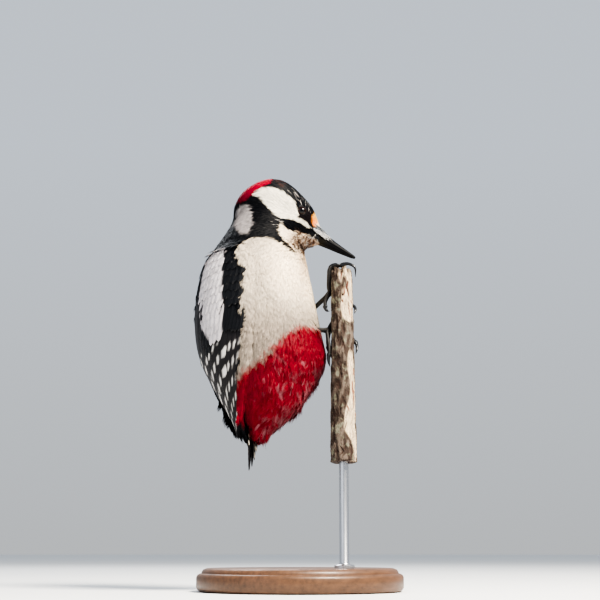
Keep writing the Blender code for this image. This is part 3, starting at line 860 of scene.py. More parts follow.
# the direction in which the plumage lies: away from the bill on the head, to the tail on the body
def lieOf(points, normals):
    away = points - billRoot
    far = np.linalg.norm(away, axis=1)
    lie = unit(away)
    back = ease(far, 26, 58)[:, None]
    turn, height = inBody(points)
    centre = outOfFrame(bodyFrame, np.stack([0 * height, 0 * height, height], axis=1))
    outward = unit(points - centre)
    down = along(bodyFrame, (0, 0.10, -1)) + outward * 0.1
    lie = lie * (1 - back) + down * back
    for heel in legs["heel"].values():
        toHeel = np.array(heel) - points
        near = np.exp(-((np.linalg.norm(toHeel, axis=1) / legs["reach"]) ** 2))[:, None]
        lie = lie * (1 - near) + (unit(toHeel) * 0.6 + down) * near
    for centre in eyeCentres:
        gap = points - centre
        near = np.exp(-((np.linalg.norm(gap, axis=1) / eye["reach"]) ** 2))[:, None]
        lie = lie + unit(gap) * near * 1.5
    lie -= normals * (lie * normals).sum(axis=1, keepdims=True)
    return unit(lie)


# every feather's points: the template's length runs along a curve from root to tip
def tuftPoints(template, roots, middles, tips, across, widths, lift):
    y = template[None, :, 1, None]
    spine = roots[:, None] * (1 - y) ** 2 + middles[:, None] * 2 * y * (1 - y) + tips[:, None] * y**2
    side = across[:, None] * (template[None, :, 0, None] * widths[:, None, None])
    return spine + side + lift[:, None] * (template[None, :, 2, None] * widths[:, None, None])


def makeCoat(base):
    points, normals, depth, bake = scatteredRoots(base, coat["candidates"])
    far = np.linalg.norm(points - billRoot, axis=1)
    growth = np.array(coat["growth"])
    length, width, gap, lift = (np.interp(far, growth[:, 0], growth[:, column]) for column in range(1, 5))
    forward, _, _ = inHead(points)
    clear = np.min([np.linalg.norm(points - centre, axis=1) for centre in eyeCentres], axis=0)
    billTree = treeOf(*billShape())
    offBill = np.linalg.norm(nearest(billTree, points)[0] - points, axis=1)
    allowed = (onWing(points) < 0) & (clear > eye["radius"] + coat["lidGap"]) & (offBill > coat["billGap"])
    allowed &= (forward < coat["billStart"]) | (offBill > coat["billFar"])
    keep = np.flatnonzero(allowed)
    keep = keep[thinnedOut(points[keep], gap[keep])]
    points, normals, depth, bake = points[keep], normals[keep], depth[keep], bake[keep]
    length, width, lift, clear = length[keep], width[keep], lift[keep], clear[keep]
    count = len(points)
    print(f"coat: {count} feathers")

    turn, height = inBody(points)
    forward, _, up = inHead(points)
    loose = ease(-height, 16, 44) * ease(-turn, -85, -40)  # the shaggy lower belly and vent
    throat = ease(forward, 12, 19) * ease(-up, 4, 8) * ease(up, -24, -18)  # hair-like feathers under the bill
    across, rise = grain(points, coat["clump"], 41), grain(points, coat["clump"], 42)
    length = length * (1 + (coat["ventStretch"] - 1) * loose) * draw.uniform(0.82, 1.18, count)
    length = np.minimum(length, np.maximum((clear - eye["radius"]) * 6, 1.0))
    length = np.minimum(length, np.maximum(height - coat["lowestTip"], 3.0))
    width = width * draw.uniform(0.8, 1.2, count)
    lift = lift * draw.uniform(0.3, 1.6, count) + throat * draw.uniform(0, 0.5, count)
    lift = lift + loose * np.clip(rise * 5 + 0.9, 0, coat["clumpLift"]) * draw.uniform(0.5, 1.2, count)
    sleek = ease(turn, 118, 140) * ease(-height, -10, 12)  # between the wings
    lift = lift * (1 - 0.85 * sleek)
    everywhere, onVent, onThroat = coat["hairChances"]
    hair = draw.random(count) < (everywhere + onVent * loose + onThroat * throat) * (1 - sleek)
    width = np.where(hair, width * coat["hairWidth"], width)
    length = np.where(hair, length * coat["hairLength"], length)
    hang = ease(-height, 60, 70)[:, None]  # round the tail's root they close in on it
    lie = lieOf(points, normals) * (1 - hang) + unit(placed(bodyFrame, coat["closeIn"]) - points) * hang
    sway = draw.normal(0, 0.12, count) + across * (0.22 + 1.0 * loose + 0.7 * throat)
    sway *= 1 - 0.8 * sleek
    lie = unit(lie + np.cross(normals, lie) * sway[:, None])
    roots = points - normals * (depth + 0.1)[:, None]
    wanted = points + lie * length[:, None]
    ends, endNormals = nearest(base["tree"], wanted)
    free = ease(np.linalg.norm(wanted - ends, axis=1), 2.2, 4.4)[:, None]  # past the end of the skin
    ends = ends * (1 - free) + (wanted - normals * (length * 0.15)[:, None]) * free
    endNormals = unit(endNormals * (1 - free) + normals * free)
    tips = ends + endNormals * lift[:, None]
    middles = points + lie * (length * 0.5)[:, None] + normals * (0.12 * width + 0.02 * length)[:, None]
    facing = unit(normals + endNormals)
    sideways = unit(np.cross(tips - roots, facing))
    facing = np.cross(sideways, unit(tips - roots))

    shown, _ = nearest(base["tree"], points + lie * (length * 0.72)[:, None])
    jitter = 0.10 + 0.5 * ease(far[keep], 25, 60) + 1.6 * loose
    colours = markings(shown + draw.normal(0, 1, (count, 3)) * jitter[:, None])
    pale, rust, dark = flecks(shown)
    luck = draw.random(count)
    chances = (("paleTip", luck < pale), ("rustTip", luck < rust), ("darkTip", luck > 1 - dark))
    for tip, hit in chances:
        colours = np.where(hit[:, None], palette[tip], colours)
    colours *= draw.normal(1, 0.07, count).clip(0.8, 1.2)[:, None]
    width = np.where(luck < pale, width * 0.35, width)

    template, corners, strand = tuftTemplate()
    # each feather darker towards its root: partly the grey of its base, partly painted shade under the
    # feathers that overlap it
    rootShade = 0.80 + 0.20 * ease(template[:, 1], 0.05, 0.6)
    barbs = np.where(strand >= 0, draw.normal(1, 0.09, (count, len(coat["strandLengths"])))[:, strand], 1)
    tint = colours[:, None] * (rootShade[None] * barbs)[..., None]
    # the vent's feathers are paler and greyer at their very tips, and some all over
    paler = draw.uniform(0, 0.25 + 0.6 * ease(-turn, -50, -8)[:, None], (count, 1))
    paler = loose[:, None] * ease(template[None, :, 1], 0.7, 1.0) * paler
    paler = np.maximum(paler, (loose * (draw.random(count) < 0.10) * 0.4)[:, None])[..., None]
    tint = tint * (1 - paler) + np.array(palette["ventTip"]) * paler
    own = intoFrame(bodyFrame, points)
    quarter = 2 * (own[:, 0] > 0) + (own[:, 1] < 0)
    names = ("back_right", "front_right", "back_left", "front_left")
    size = np.stack([width, length], axis=1)[:, None] * coat["vaneScale"]
    for index, name in enumerate(names):
        whole = np.flatnonzero(quarter == index)
        shares = math.ceil(len(whole) * len(corners) / coat["largest"])
        for share in range(shares):
            some = whole[share::shares]  # each share is spread over the whole quarter
            title = f"coat_{name}_{share + 1}"
            laid = tuftPoints(
                template, roots[some], middles[some], tips[some], sideways[some], width[some], facing[some]
            )
            patch = bake[some][:, None] + (template[None, :, :2] - (0, 0.5)) * coat["patch"]
            mesh = joinedMesh(title, laid, corners, tint[some], template[None, :, :2] * size[some], patch)
            ridden(pieceFrom(mesh, title, finishes["coat"]), "plumage_white")
            print(f"{title}: {len(mesh.polygons)} triangles")


def billShape():
    mesh = meshOf(copyOf("bill_upper", "bill_lower"), "billShape")
    return verticesOf(mesh), mesh


# folded wings: each quill lies along the shell from its root to its tip. Places are given as (share, height):
# share 0 is the wing's front edge and 1 its back edge
quills = {
    "columns": (-1, -0.75, -0.45, -0.09, 0, 0.09, 0.45, 0.75, 1),
    "rows": 40,
    "primaries": {
        "roots": (0.03, 0.42), "rootHeight": (2, -4), "tips": (0.20, 0.96), "halfWidth": (3.0, 3.6),
        "lift": (-1.35, -0.75), "point": 0.30, "spotReach": 0.55,
        "tipHeights": (-67, -71.5, -74.5, -74.5, -71.5, -67, -63, -59, -55),
    },
    "secondaries": {
        "roots": (0.26, 0.62), "rootHeight": (0, 2), "tips": (0.46, 0.90), "halfWidth": (3.8, 4.2),
        "lift": (-0.65, -0.30), "point": 0.14, "spotReach": 0.55,
        "tipHeights": (-51, -50.5, -49.5, -48.5, -46.5, -44),
    },
    "tertials": {
        "roots": (0.66, 0.86), "rootHeight": (4, 4), "tips": (0.72, 0.95), "halfWidth": (4.6, 5.2),
        "lift": (-0.20, 0.0), "point": 0.16, "spotReach": 0.36,
        "tipHeights": (-43, -40, -36),
    },
    "brown": (0.013, 0.011, 0.012),
    "spot": (0.66, 0.63, 0.60),
    "spotHeight": 2.1,
    "barStep": 8.5,  # height between two rows of white spots
    "firstBar": -24.0,  # height of a row at the wing's front edge
    "barSlope": -26.0,  # and how much lower it is at the back edge
}
coverts = {
    "rows": 13,
    "columns": (-1, -0.85, -0.6, -0.35, -0.12, 0, 0.12, 0.35, 0.6, 0.85, 1),
    "step": (3.3, 4.4),  # across and down, between neighbours
    "heights": (-31.0, 27.0),  # lines of tips lie between these
    "top": 31,
    "length": 11.0,
    "halfWidth": 2.7,
    "lift": -0.8,
    "tipLift": 0.85,
    "camber": 0.32,
    "point": 0.5,
    "front": 0.36,  # up to this share the lines end higher up, where the greater coverts lie
    "lowest": (-10, -32),
    "greater": {
        "count": 9, "shares": (0.02, 0.34), "tip": -25, "slope": 10, "length": 17, "lift": -0.75,
        "point": 0.35,
    },
}
tailQuills = {
    "tips": ((1.6, -89.5), (3.6, -87.0), (5.3, -83.0), (6.7, -78.0), (7.5, -72.0)),  # outer edge, tip height
    "roots": (0.9, 2.1, 3.3, 4.3, 5.0),
    "top": -40.0,
    "depth": (4.9, 2.2),  # from the middle pair, which lies at the back, to the outer one
    "halfWidth": 2.8,
    "length": 48,
    "point": 0.14,
    "barStep": 4.6,
    "barShare": (0.0, 0.0, 0.7, 1.0, 1.0),  # how white the bars are, from the middle pair out
    "bar": (0.60, 0.55, 0.47),
}


def gridCorners(rows, columns):
    first = (np.arange(rows - 1)[:, None] * columns + np.arange(columns - 1)).ravel()
    lower = np.stack([first, first + 1, first + columns + 1], axis=1)
    upper = np.stack([first, first + columns + 1, first + columns], axis=1)
    return np.concatenate([lower, upper])


# points in mm over the folded wing's outer shell
def onShell(share, height, lift, sign):
    rows = np.array(wing["shell"], float)
    front, back, middle, wide, deep = (smoothValue(height, rows[:, 0], rows[:, k]) for k in range(1, 6))
    turn = np.radians(partWay((front, back), share))
    across, ahead = sign * (wide + lift) * np.sin(turn), middle - (deep + lift) * np.cos(turn)
    local = np.stack([across, ahead, height + 0 * turn], axis=-1)
    return outOfFrame(bodyFrame, local), np.radians(back - front) * (wide + deep) / 2


# half the width of a vane along its length: narrow at the root, full, then rounded to its tip
def vaneShape(run, point):
    end = np.clip((run - 1 + point) / point, 0, 1)
    return (0.45 + 0.55 * ease(run, 0, 0.2)) * np.sqrt(np.clip(1 - end**1.8, 0, 1))


# one wing feather's grid of points, with the vane map, run, place across, height and share of each
def wingQuill(sign, start, end, halfWidth, lift, point, rows, columns, tipLift=0.0, camber=0.35):
    run = np.linspace(0, 1, rows)[:, None]
    across = np.array(columns)[None, :]
    ragged = draw.uniform(-1, 1, (1, len(columns))) * ease(run, 0.78, 1.0) * 0.35
    height = partWay((start[1], end[1]), run) + ragged
    width = halfWidth * vaneShape(run, point)
    fray = 1 + 0.05 * np.sin(run * draw.uniform(40, 60) + draw.uniform(0, 6)) * (abs(across) > 0.9)
    offset = across * width * fray + ragged * 0.25
    _, breadth = onShell(np.zeros(rows), height[:, 0], 0, sign)
    share = partWay((start[0], end[0]), run**1.3) + offset / breadth[:, None]
    crown = camber * (1 - across**2) + 0.10 * (abs(across) < 0.1)
    raised = lift + tipLift * run + crown * np.clip(width / halfWidth, 0, 1)
    points, _ = onShell(share.ravel(), height.ravel(), raised.ravel(), sign)
    run, across = run + 0 * across, across + 0 * run
    vane = np.stack([offset.ravel(), (run * abs(end[1] - start[1])).ravel()], axis=1) * coat["vaneScale"]
    return points, vane, run.ravel(), across.ravel(), height.ravel(), share.ravel()


# each feather's own cell of the bake map
def bakeCells(count, run, across, low, high):
    wide = math.ceil(math.sqrt(count / (high - low)))
    tall = math.ceil(count / wide)
    cell = np.arange(count)
    corner = np.stack([(cell % wide) / wide, low + (cell // wide) * (high - low) / tall], axis=1)
    inner = np.stack([0.08 + 0.84 * (across + 1) / 2, 0.05 + 0.9 * run], axis=-1)
    return corner[:, None] + inner * (1 / wide, (high - low) / tall)


def spotted(run, across, height, share, reach):
    colours = evenly(quills["brown"], len(run))
    colours *= (1 + 0.3 * grain(np.stack([across * 3, height, run * 5], axis=1), 2.5, 9))[:, None]
    bar = quills["firstBar"] + quills["barSlope"] * share
    nearestBar = np.round((height - bar) / quills["barStep"])
    away = height - bar - nearestBar * quills["barStep"]
    spot = ((abs(across) - 0.70) / reach) ** 2 + (away / quills["spotHeight"]) ** 2
    spot = np.where(across > 0.2, spot + 0.4, spot)
    mask = np.clip((1.15 - spot) / 0.45, 0, 1) * ease(-height, 26, 28)
    return blended(colours, mask, quills["spot"])


# the small feathers over the roots of the quills, in staggered lines, then the greater ones along the front
def coverFeathers(sign):
    grid = (coverts["rows"], coverts["columns"])
    acrossStep, downStep = coverts["step"]
    made = []
    for line, tipHeight in enumerate(np.arange(*coverts["heights"], downStep)):
        _, breadth = onShell(np.zeros(1), np.array([tipHeight]), 0, sign)
        count = int(breadth[0] / acrossStep) + 1
        for index in range(count + 1):
            share = (index + 0.5 * (line % 2) + draw.uniform(-0.12, 0.12)) / count
            lowest = coverts["lowest"][0 if share < coverts["front"] else 1]
            if tipHeight < lowest + draw.uniform(0, 2):
                continue
            length = coverts["length"] * draw.uniform(0.9, 1.1)
            if tipHeight < -4:
                length *= 1.25
            start = (share - 0.02, min(tipHeight + length, coverts["top"]))
            end = (share, tipHeight + draw.uniform(-0.6, 0.6))
            halfWidth = coverts["halfWidth"] * draw.uniform(0.9, 1.1)
            tipLift = coverts["tipLift"] + draw.uniform(0, 0.2)
            shape = (halfWidth, coverts["lift"], coverts["point"], *grid, tipLift, coverts["camber"])
            made.append(wingQuill(sign, start, end, *shape))
    greater = coverts["greater"]
    for share in np.linspace(*greater["shares"], greater["count"]):
        tipHeight = greater["tip"] + greater["slope"] * share + draw.uniform(-0.5, 0.5)
        start, end = (share - 0.03, tipHeight + greater["length"]), (share + 0.02, tipHeight)
        shape = (coverts["halfWidth"], greater["lift"], greater["point"], *grid, 0.5 + share * 0.5)
        made.append(wingQuill(sign, start, end, *shape))
    return made


def makeWing(side, sign):
    rows, columns = quills["rows"], quills["columns"]
    big = []
    for kind in ("primaries", "secondaries", "tertials"):
        facts = quills[kind]
        for index, tipHeight in enumerate(facts["tipHeights"]):
            part = index / (len(facts["tipHeights"]) - 1)
            names = ("roots", "rootHeight", "tips", "halfWidth", "lift")
            root, rootHeight, tip, halfWidth, lift = (partWay(facts[name], part) for name in names)
            shape = (halfWidth, lift, facts["point"], rows, columns)
            made = wingQuill(sign, (root, rootHeight), (tip, tipHeight), *shape)
            big.append((*made, spotted(*made[2:6], facts["spotReach"])))
    batches = [quillBatch("flight", big, rows, len(columns), 0.42, 1.0)]

    rows, columns = coverts["rows"], coverts["columns"]
    small = coverFeathers(sign)
    shown = np.array([made[0].reshape(rows, -1, 3)[int(rows * 0.7), len(columns) // 2] for made in small])
    places = np.stack(inBody(shown), axis=1)
    onBreast, pale = insideOf(places, breast, 3.0), insideOf(places, whiteWing, 3.0)
    kept = []
    for made, hidden, white in zip(small, onBreast, pale):
        if hidden < 0.5:  # the breast's own feathers cover the rest
            # each covert darker towards its root: partly the grey of its base, partly painted shade under the
            # coverts that overlap it
            shade = draw.uniform(0.88, 1.08) * (0.70 + 0.30 * ease(made[2], 0.1, 0.85))
            shade *= (1 - 0.10 * ease(abs(made[3]), 0.7, 1)) * (1 - 0.12 * (abs(made[3]) < 0.05))
            spots = np.stack(inBody(made[0]), axis=1) + draw.normal(0, (1.0, 0.7))
            mask = 0.45 * white + 0.55 * insideOf(spots, whiteWing, 3.0)
            tint = blended(evenly(palette["black"], len(spots)), ease(mask, 0.3, 0.7), palette["shadedScapular"])
            kept.append((*made, tint * shade[:, None]))
    batches.append(quillBatch("coverts", kept, rows, len(columns), 0.0, 0.40))
    name = "wing_feathers_" + side
    piece = pieceFrom(mergedMesh(name, batches), name, finishes["quill"])
    ridden(piece, "plumage_black")
    print(f"{name}: {len(piece.data.polygons)} triangles")


# one mesh of many quills, whose cells lie between these heights of the bake map
def quillBatch(name, made, rows, columns, low, high):
    points, vane, run, across = (np.stack([one[k] for one in made]) for k in range(4))
    tint = np.stack([one[-1] for one in made])
    bake = bakeCells(len(made), run, across, low, high)
    return joinedMesh(name, points, gridCorners(rows, columns), tint, vane, bake)


def makeTail():
    rows, columns = quills["rows"], np.array(quills["columns"])
    run = np.linspace(0, 1, rows)[:, None]
    shape = vaneShape(run, tailQuills["point"]) * (1 - 0.55 * ease(run, 0.55, 1))
    made = []
    for pair in reversed(range(len(tailQuills["tips"]))):
        edge, tipHeight = tailQuills["tips"][pair]
        depth = partWay(tailQuills["depth"], pair / (len(tailQuills["tips"]) - 1))
        for sign in sides.values():
            wear = 1 + 0.10 * np.sin(run * draw.uniform(70, 110)) * (abs(columns) > 0.9) * ease(run, 0.7, 0.9)
            offset = columns * tailQuills["halfWidth"] * shape * wear
            middle = partWay((tailQuills["roots"][pair], edge - 1.3), run)
            height = partWay((tailQuills["top"], tipHeight), run) + 0 * offset
            crown = 0.30 * (1 - columns**2) + 0.14 * (abs(columns) < 0.1)
            x = sign * (middle + offset)
            y = depth + draw.uniform(-0.1, 0.1) + crown * shape - 0.45 * (columns * shape) * (columns > 0)
            local = np.stack([x, y + 0 * x, height], axis=-1).reshape(-1, 3)
            bars = np.sin((height + 1.5 * abs(columns) + pair) / tailQuills["barStep"] * math.tau)
            white = np.clip(bars * 3 + 0.8, 0, 1) * ease(-height, 52, 56) * tailQuills["barShare"][pair]
            white = white * np.where((pair == 2) & (columns < 0.1), 0, 1)
            colours = evenly(quills["brown"], height.size) * 0.8
            colours = blended(colours, white.ravel(), tailQuills["bar"])
            flat = (run + 0 * columns).ravel(), (columns + 0 * run).ravel()
            vane = np.stack([offset.ravel(), flat[0] * tailQuills["length"]], axis=1) * coat["vaneScale"]
            made.append((outOfFrame(bodyFrame, local), vane, *flat, colours))
    mesh = quillBatch("tail_quills", made, rows, len(columns), 0.0, 1.0)
    ridden(pieceFrom(mesh, "tail_quills", finishes["quill"]), "plumage_black", "tail")


# eyes: (local axes) Z looks out of the head, X forwards
def eyeFrame(sign):
    out = Vector(eye["axis"]).normalized()
    out.y *= sign
    ahead = Vector((1, 0, 0))
    ahead = (ahead - out * ahead.dot(out)).normalized()
    turn = Matrix((ahead, out.cross(ahead), out)).transposed().to_4x4()
    centre = Vector(eye["centre"])
    centre.y *= sign
    return headFrame @ Matrix.Translation(centre) @ turn


def mappedPlace(boxes, links, place, scale):
    where, mapping = boxes.new("ShaderNodeTexCoord"), boxes.new("ShaderNodeMapping")
    mapping.vector_type = "TEXTURE"
    mapping.inputs["Location"].default_value = place.translation * mm
    mapping.inputs["Rotation"].default_value = place.to_euler()
    mapping.inputs["Scale"].default_value = [part * mm for part in scale]
    links.new(where.outputs["Object"], mapping.inputs["Vector"])
    return mapping.outputs["Vector"]


def eyeFinish(side, place):
    made, boxes, links, shader = newMaterial("eye_" + side, 0.06, Specular_IOR_Level=0.35)
    ahead = mappedPlace(boxes, links, place, (1, 1, 1))
    flat = boxes.new("ShaderNodeVectorMath")
    flat.operation = "MULTIPLY"
    flat.inputs[1].default_value = (1, 1, 0)
    links.new(ahead, flat.inputs[0])
    far = boxes.new("ShaderNodeVectorMath")
    far.operation = "LENGTH"
    links.new(flat.outputs["Vector"], far.inputs[0])
    share = mathBox(boxes, links, "DIVIDE", far.outputs["Value"], eye["rimRadius"])
    rays = boxes.new("ShaderNodeTexNoise")
    rays.inputs["Scale"].default_value = 3.0
    links.new(ahead, rays.inputs["Vector"])
    moved = mathBox(boxes, links, "ADD", share, mathBox(boxes, links, "MULTIPLY", rays.outputs["Fac"], 0.04))
    pupil = eye["pupilColour"]
    tones = (pupil, pupil, *eye["irisColours"], *eye["rimColours"])
    ring = rampOf(boxes, *zip(eye["places"], tones))
    links.new(moved, ring.inputs["Fac"])
    links.new(ring.outputs["Color"], shader.inputs["Base Color"])
    return made


def makeEye(side, sign):
    place = eyeFrame(sign)
    bm = bmesh.new()
    bmesh.ops.create_uvsphere(bm, u_segments=48, v_segments=32, radius=eye["radius"])
    for corner in bm.verts:
        ahead = corner.co.z / eye["radius"]
        corner.co *= 1 + eye["bulge"] * max(ahead - 0.75, 0) / 0.25
    seat(bm, place)
    ball = pieceFrom(bm, "eyeball_" + side, eyeFinish(side, place))
    ridden(ball, "eye", "eye_" + side)
    # the lids are one thin ring of bare skin on the eyeball, drawn out a little to the front and back
    bm = bmesh.new()
    bmesh.ops.create_circle(bm, segments=12, radius=eye["lidRadius"])
    bmesh.ops.rotate(bm, matrix=Matrix.Rotation(math.pi / 2, 3, "X"), verts=bm.verts)
    bmesh.ops.translate(bm, vec=(eye["opening"], 0, 0), verts=bm.verts)
    spun(bm, (0, 0), 64)
    ahead = math.sqrt(eye["radius"] ** 2 - eye["opening"] ** 2)
    for corner in bm.verts:
        angle = math.atan2(corner.co.y, corner.co.x)
        wrinkle = 0.04 * math.sin(angle * 23) + 0.05 * noise.noise(corner.co * 2.5)
        corner.co.z *= 1 + 0.25 * math.sin(angle)
        corner.co.z += ahead + wrinkle - 0.28 * math.cos(angle) ** 4
        corner.co.x *= 1.0 + 0.10 * abs(math.cos(angle)) ** 3
        corner.co.y *= 0.96
    bmesh.ops.recalc_face_normals(bm, faces=bm.faces)
    seat(bm, place)
    lid = pieceFrom(bm, "lids_" + side, finishes["lid"])
    putTint(lid.data, [eye["lidColour"]])
    ridden(lid, "bare_skin")


# a closed skin over rings of points, with a cap at each end
def loftOf(rings):
    bm = bmesh.new()
    loops = []
    for ring in rings:
        corners = [bm.verts.new(point) for point in ring]
        loops.append([bm.edges.new(pair) for pair in zip(corners, corners[1:] + corners[:1])])
    for low, high in zip(loops, loops[1:]):
        bmesh.ops.bridge_loops(bm, edges=low + high)
    bmesh.ops.holes_fill(bm, edges=loops[0] + loops[-1], sides=0)
    bmesh.ops.recalc_face_normals(bm, faces=bm.faces)
    return bm


bill = {
    # forward, half width, height over the mouth line, depth under it, in the head's frame
    "sections": (
        (22.6, 4.3, 4.4, 4.0),
        (27.0, 4.0, 4.2, 4.1),
        (31.0, 3.4, 3.6, 3.7),
        (36.0, 2.7, 2.7, 3.0),
        (41.0, 2.2, 2.0, 2.4),
        (46.5, 1.6, 1.35, 1.6),
        (50.2, 1.1, 0.9, 1.0),
        (51.15, 0.75, 0.6, 0.6),
    ),
    "mouth": -2.0,  # height of the mouth line
    "gap": 0.12,  # from it to each half
    "closing": (46, 50),  # the halves close up between these places
    "ridge": (0.08, 0.05),  # how far the upper and lower ridges stand out, as a share of the height
    "flank": 0.05,  # the same for the weaker edges on both sides of them
    "narrower": 0.93,  # the lower half, under the upper one's edge
    "rings": 46,
    "arc": 25,
    "upper": (0.0045, 0.0048, 0.0062),
    "lower": (0.0050, 0.0050, 0.0060),
    "base": (0.026, 0.020, 0.010),
    "tip": (0.022, 0.021, 0.020),
}


def makeBill(part, sign):
    rows = np.array(bill["sections"])
    forwards = np.linspace(rows[0, 0], rows[-1, 0], bill["rings"])
    wide = smoothValue(forwards, rows[:, 0], rows[:, 1])
    tall = smoothValue(forwards, rows[:, 0], rows[:, 2 if sign > 0 else 3])
    turns = np.linspace(0, math.pi, bill["arc"])
    rings = []
    for forward, halfWidth, reach in zip(forwards, wide, tall):
        ridge = np.exp(-(((turns - math.pi / 2) / 0.20) ** 2)) * bill["ridge"][0 if sign > 0 else 1]
        flank = sum(np.exp(-(((turns - at) / 0.16) ** 2)) for at in (0.62, math.pi - 0.62)) * bill["flank"]
        lean = 0.90 + flank * (sign > 0)
        across = halfWidth * np.cos(turns) * (lean + 0.10 * abs(np.cos(turns)))
        across = across * (1.0 if sign > 0 else bill["narrower"])
        upward = reach * (np.sin(turns) * (0.92 + flank) + ridge)
        level = bill["mouth"] + sign * bill["gap"] * (1 - 0.9 * ease(forward, *bill["closing"]))
        rings.append([(forward, a, level + sign * max(u, 0.0)) for a, u in zip(across, upward)])
    bm = loftOf(rings)
    seat(bm, headFrame)
    piece = pieceFrom(bm, "bill_horn_" + part, finishes["bill"])
    piece.data.set_sharp_from_angle(angle=math.radians(55))
    points = verticesOf(piece.data)
    forward, _, up = inHead(points)
    colours = evenly(bill[part], len(points))
    colours = blended(colours, ease(-forward, -36, -27) * (0.9 if sign < 0 else 0.3), bill["base"])
    colours = blended(colours, ease(forward, 48, 51) * 0.4, bill["tip"])
    putTint(piece.data, colours * (1 + 0.25 * grain(points, 1.5, 12))[:, None])
    ridden(piece, "horn", "bill_" + part)


# stiff hairs that lie forwards from the forehead and lores over the root of the bill
bristles = {
    "count": 900,
    "length": (2.4, 6.0),
    "width": 0.16,
    "forward": (21.5, 26.5),  # roots lie between these, in the head's frame
    "out": (1.0, 6.0),
    "up": (-1.0, 3.2),
    "pale": (0.62, 0.61, 0.60),
    "grey": (0.07, 0.08, 0.09),
}


def makeBristles(base):
    count = bristles["count"]
    sign = draw.choice((-1, 1), count)
    forward, up, out = (draw.uniform(*bristles[name], count) for name in ("forward", "up", "out"))
    start = np.stack([forward, sign * out, up], axis=1)
    billTree = treeOf(*billShape())
    roots, normals = nearest(base["tree"], outOfFrame(headFrame, start))
    ahead = along(headFrame, (1, 0, 0)) + draw.normal(0, 0.13, (count, 3))
    length = draw.uniform(*bristles["length"], count) + 4.0 * draw.random(count) * ease(-up, -1.0, 0.2)
    onBill, billNormals = nearest(billTree, roots + ahead * length[:, None])
    tips = onBill + billNormals * (0.05 + 0.9 * draw.random(count) ** 2)[:, None]
    middles = (roots + tips) / 2 + normals * draw.uniform(0.2, 0.8, count)[:, None]
    facing = unit(normals + billNormals)
    across = unit(np.cross(tips - roots, facing))
    bm = bmesh.new()
    bmesh.ops.create_grid(bm, x_segments=1, y_segments=4, size=0.5)
    for corner in bm.verts:
        corner.co.y += 0.5
        corner.co.x *= 1 - corner.co.y**2
    bmesh.ops.remove_doubles(bm, verts=bm.verts, dist=0.001)
    bmesh.ops.triangulate(bm, faces=bm.faces)
    template, corners = arraysOf(bm)
    bm.free()
    width = bristles["width"] * draw.uniform(0.6, 1.3, count)
    laid = tuftPoints(template, roots - normals * 0.4, middles, tips, across, width, facing)
    pale = (draw.random(count) < 0.14 + 0.8 * ease(-up, -0.6, 0.2))[:, None]
    tone = np.where(pale, bristles["pale"], bristles["grey"]) * draw.uniform(0.7, 1.15, (count, 1))
    tint = np.repeat(tone[:, None], len(template), axis=1)
    run = np.tile(template[:, 1], (count, 1))
    patch = bakeCells(count, run, np.tile(template[:, 0] * 2, (count, 1)), 0, 1)
    vane = np.tile(template[:, :2] * coat["vaneScale"], (count, 1, 1))
    mesh = joinedMesh("bristles", laid, corners, tint, vane, patch)
    ridden(pieceFrom(mesh, "bristles", finishes["coat"]), "plumage_white")


feet = {
    # places round the stub as (degrees, distance from its middle line, height along it)
    "ankle": {"left": (20, 7.7, 94), "right": (8, 8.0, 72)},
    "toes": {
        "left": {
            1: ((8, 8.0, 92.1), (1, 9.0, 89.4), (-2, 9.4, 87.8), (-4, 9.4, 86.4)),
            2: ((3, 7.5, 95.7), (-15, 7.1, 99.6), (-22, 7.0, 102.4), (-28, 6.7, 105.4)),
            3: ((20, 7.5, 96.0), (17, 7.0, 102.0), (10, 6.5, 106.2), (0, 1.4, 107.8)),
            4: ((36, 7.6, 93.2), (70, 7.0, 90.4), (98, 6.9, 88.2), (124, 6.9, 86.4)),
        },
        "right": {
            1: ((9, 8.3, 69.9), (11, 8.9, 67.2), (13, 9.1, 65.6), (14, 9.1, 64.2)),
            2: ((13, 7.9, 74.0), (38, 7.3, 78.6), (64, 7.2, 80.6), (88, 7.2, 80.8)),
            3: ((24, 7.8, 72.1), (64, 7.3, 72.0), (98, 7.2, 69.8), (130, 7.2, 66.4)),
            4: ((-12, 8.0, 70.5), (-24, 7.8, 66.6), (-30, 7.4, 62.6), (-33, 7.3, 58.6)),
        },
    },
    "claws": {
        "left": {
            1: ((-4, 9.4, 86.1), (-7, 9.0, 83.6), (-10, 8.0, 82.3), (-15, 6.7, 81.9)),
            2: ((-29, 6.5, 106.1), (-36, 5.0, 107.6), (-56, 3.4, 107.8), (-88, 2.8, 106.9)),
            3: ((0, 1.0, 107.8), (180, 3.6, 108.4), (176, 7.1, 106.2), (174, 7.6, 100.6)),
            4: ((127, 6.9, 86.2), (145, 7.3, 84.4), (158, 7.2, 82.4), (166, 6.6, 80.2)),
        },
        "right": {
            1: ((14, 9.1, 63.9), (15, 9.0, 61.4), (16, 8.3, 59.6), (17, 7.0, 58.6)),
            2: ((93, 7.3, 80.5), (110, 7.6, 79.4), (124, 7.4, 77.6), (133, 6.8, 75.4)),
            3: ((132, 7.2, 66.2), (152, 7.7, 63.2), (163, 7.6, 60.4), (169, 7.0, 57.6)),
            4: ((-33, 7.3, 58.2), (-35, 7.8, 55.0), (-35, 7.6, 52.4), (-35, 6.9, 50.2)),
        },
    },
    # radii at the marks along each tube
    "toeRadii": (1.45, 1.15, 1.05, 1.02, 0.98, 0.80, 0.35),
    "clawRadii": (0.55, 0.86, 0.80, 0.58, 0.10),
    "shankRadii": (1.3, 1.25, 1.25, 1.35, 1.7, 1.5, 0.6),
    "overTop": 98,  # higher up the stub, away from it means upward too
    "scute": 0.85,  # length of one horny plate
    "scuteHeight": 0.11,
    "shankScuteHeight": 0.10,
    "skin": (0.020, 0.018, 0.017),
    "groove": (0.008, 0.007, 0.007),
    "horn": (0.011, 0.011, 0.012),
}


def onPerch(*places):
    turned = [(math.radians(degrees), far, height) for degrees, far, height in places]
    return [placed(perchFrame, (far * math.sin(a), far * math.cos(a), height)) for a, far, height in turned]


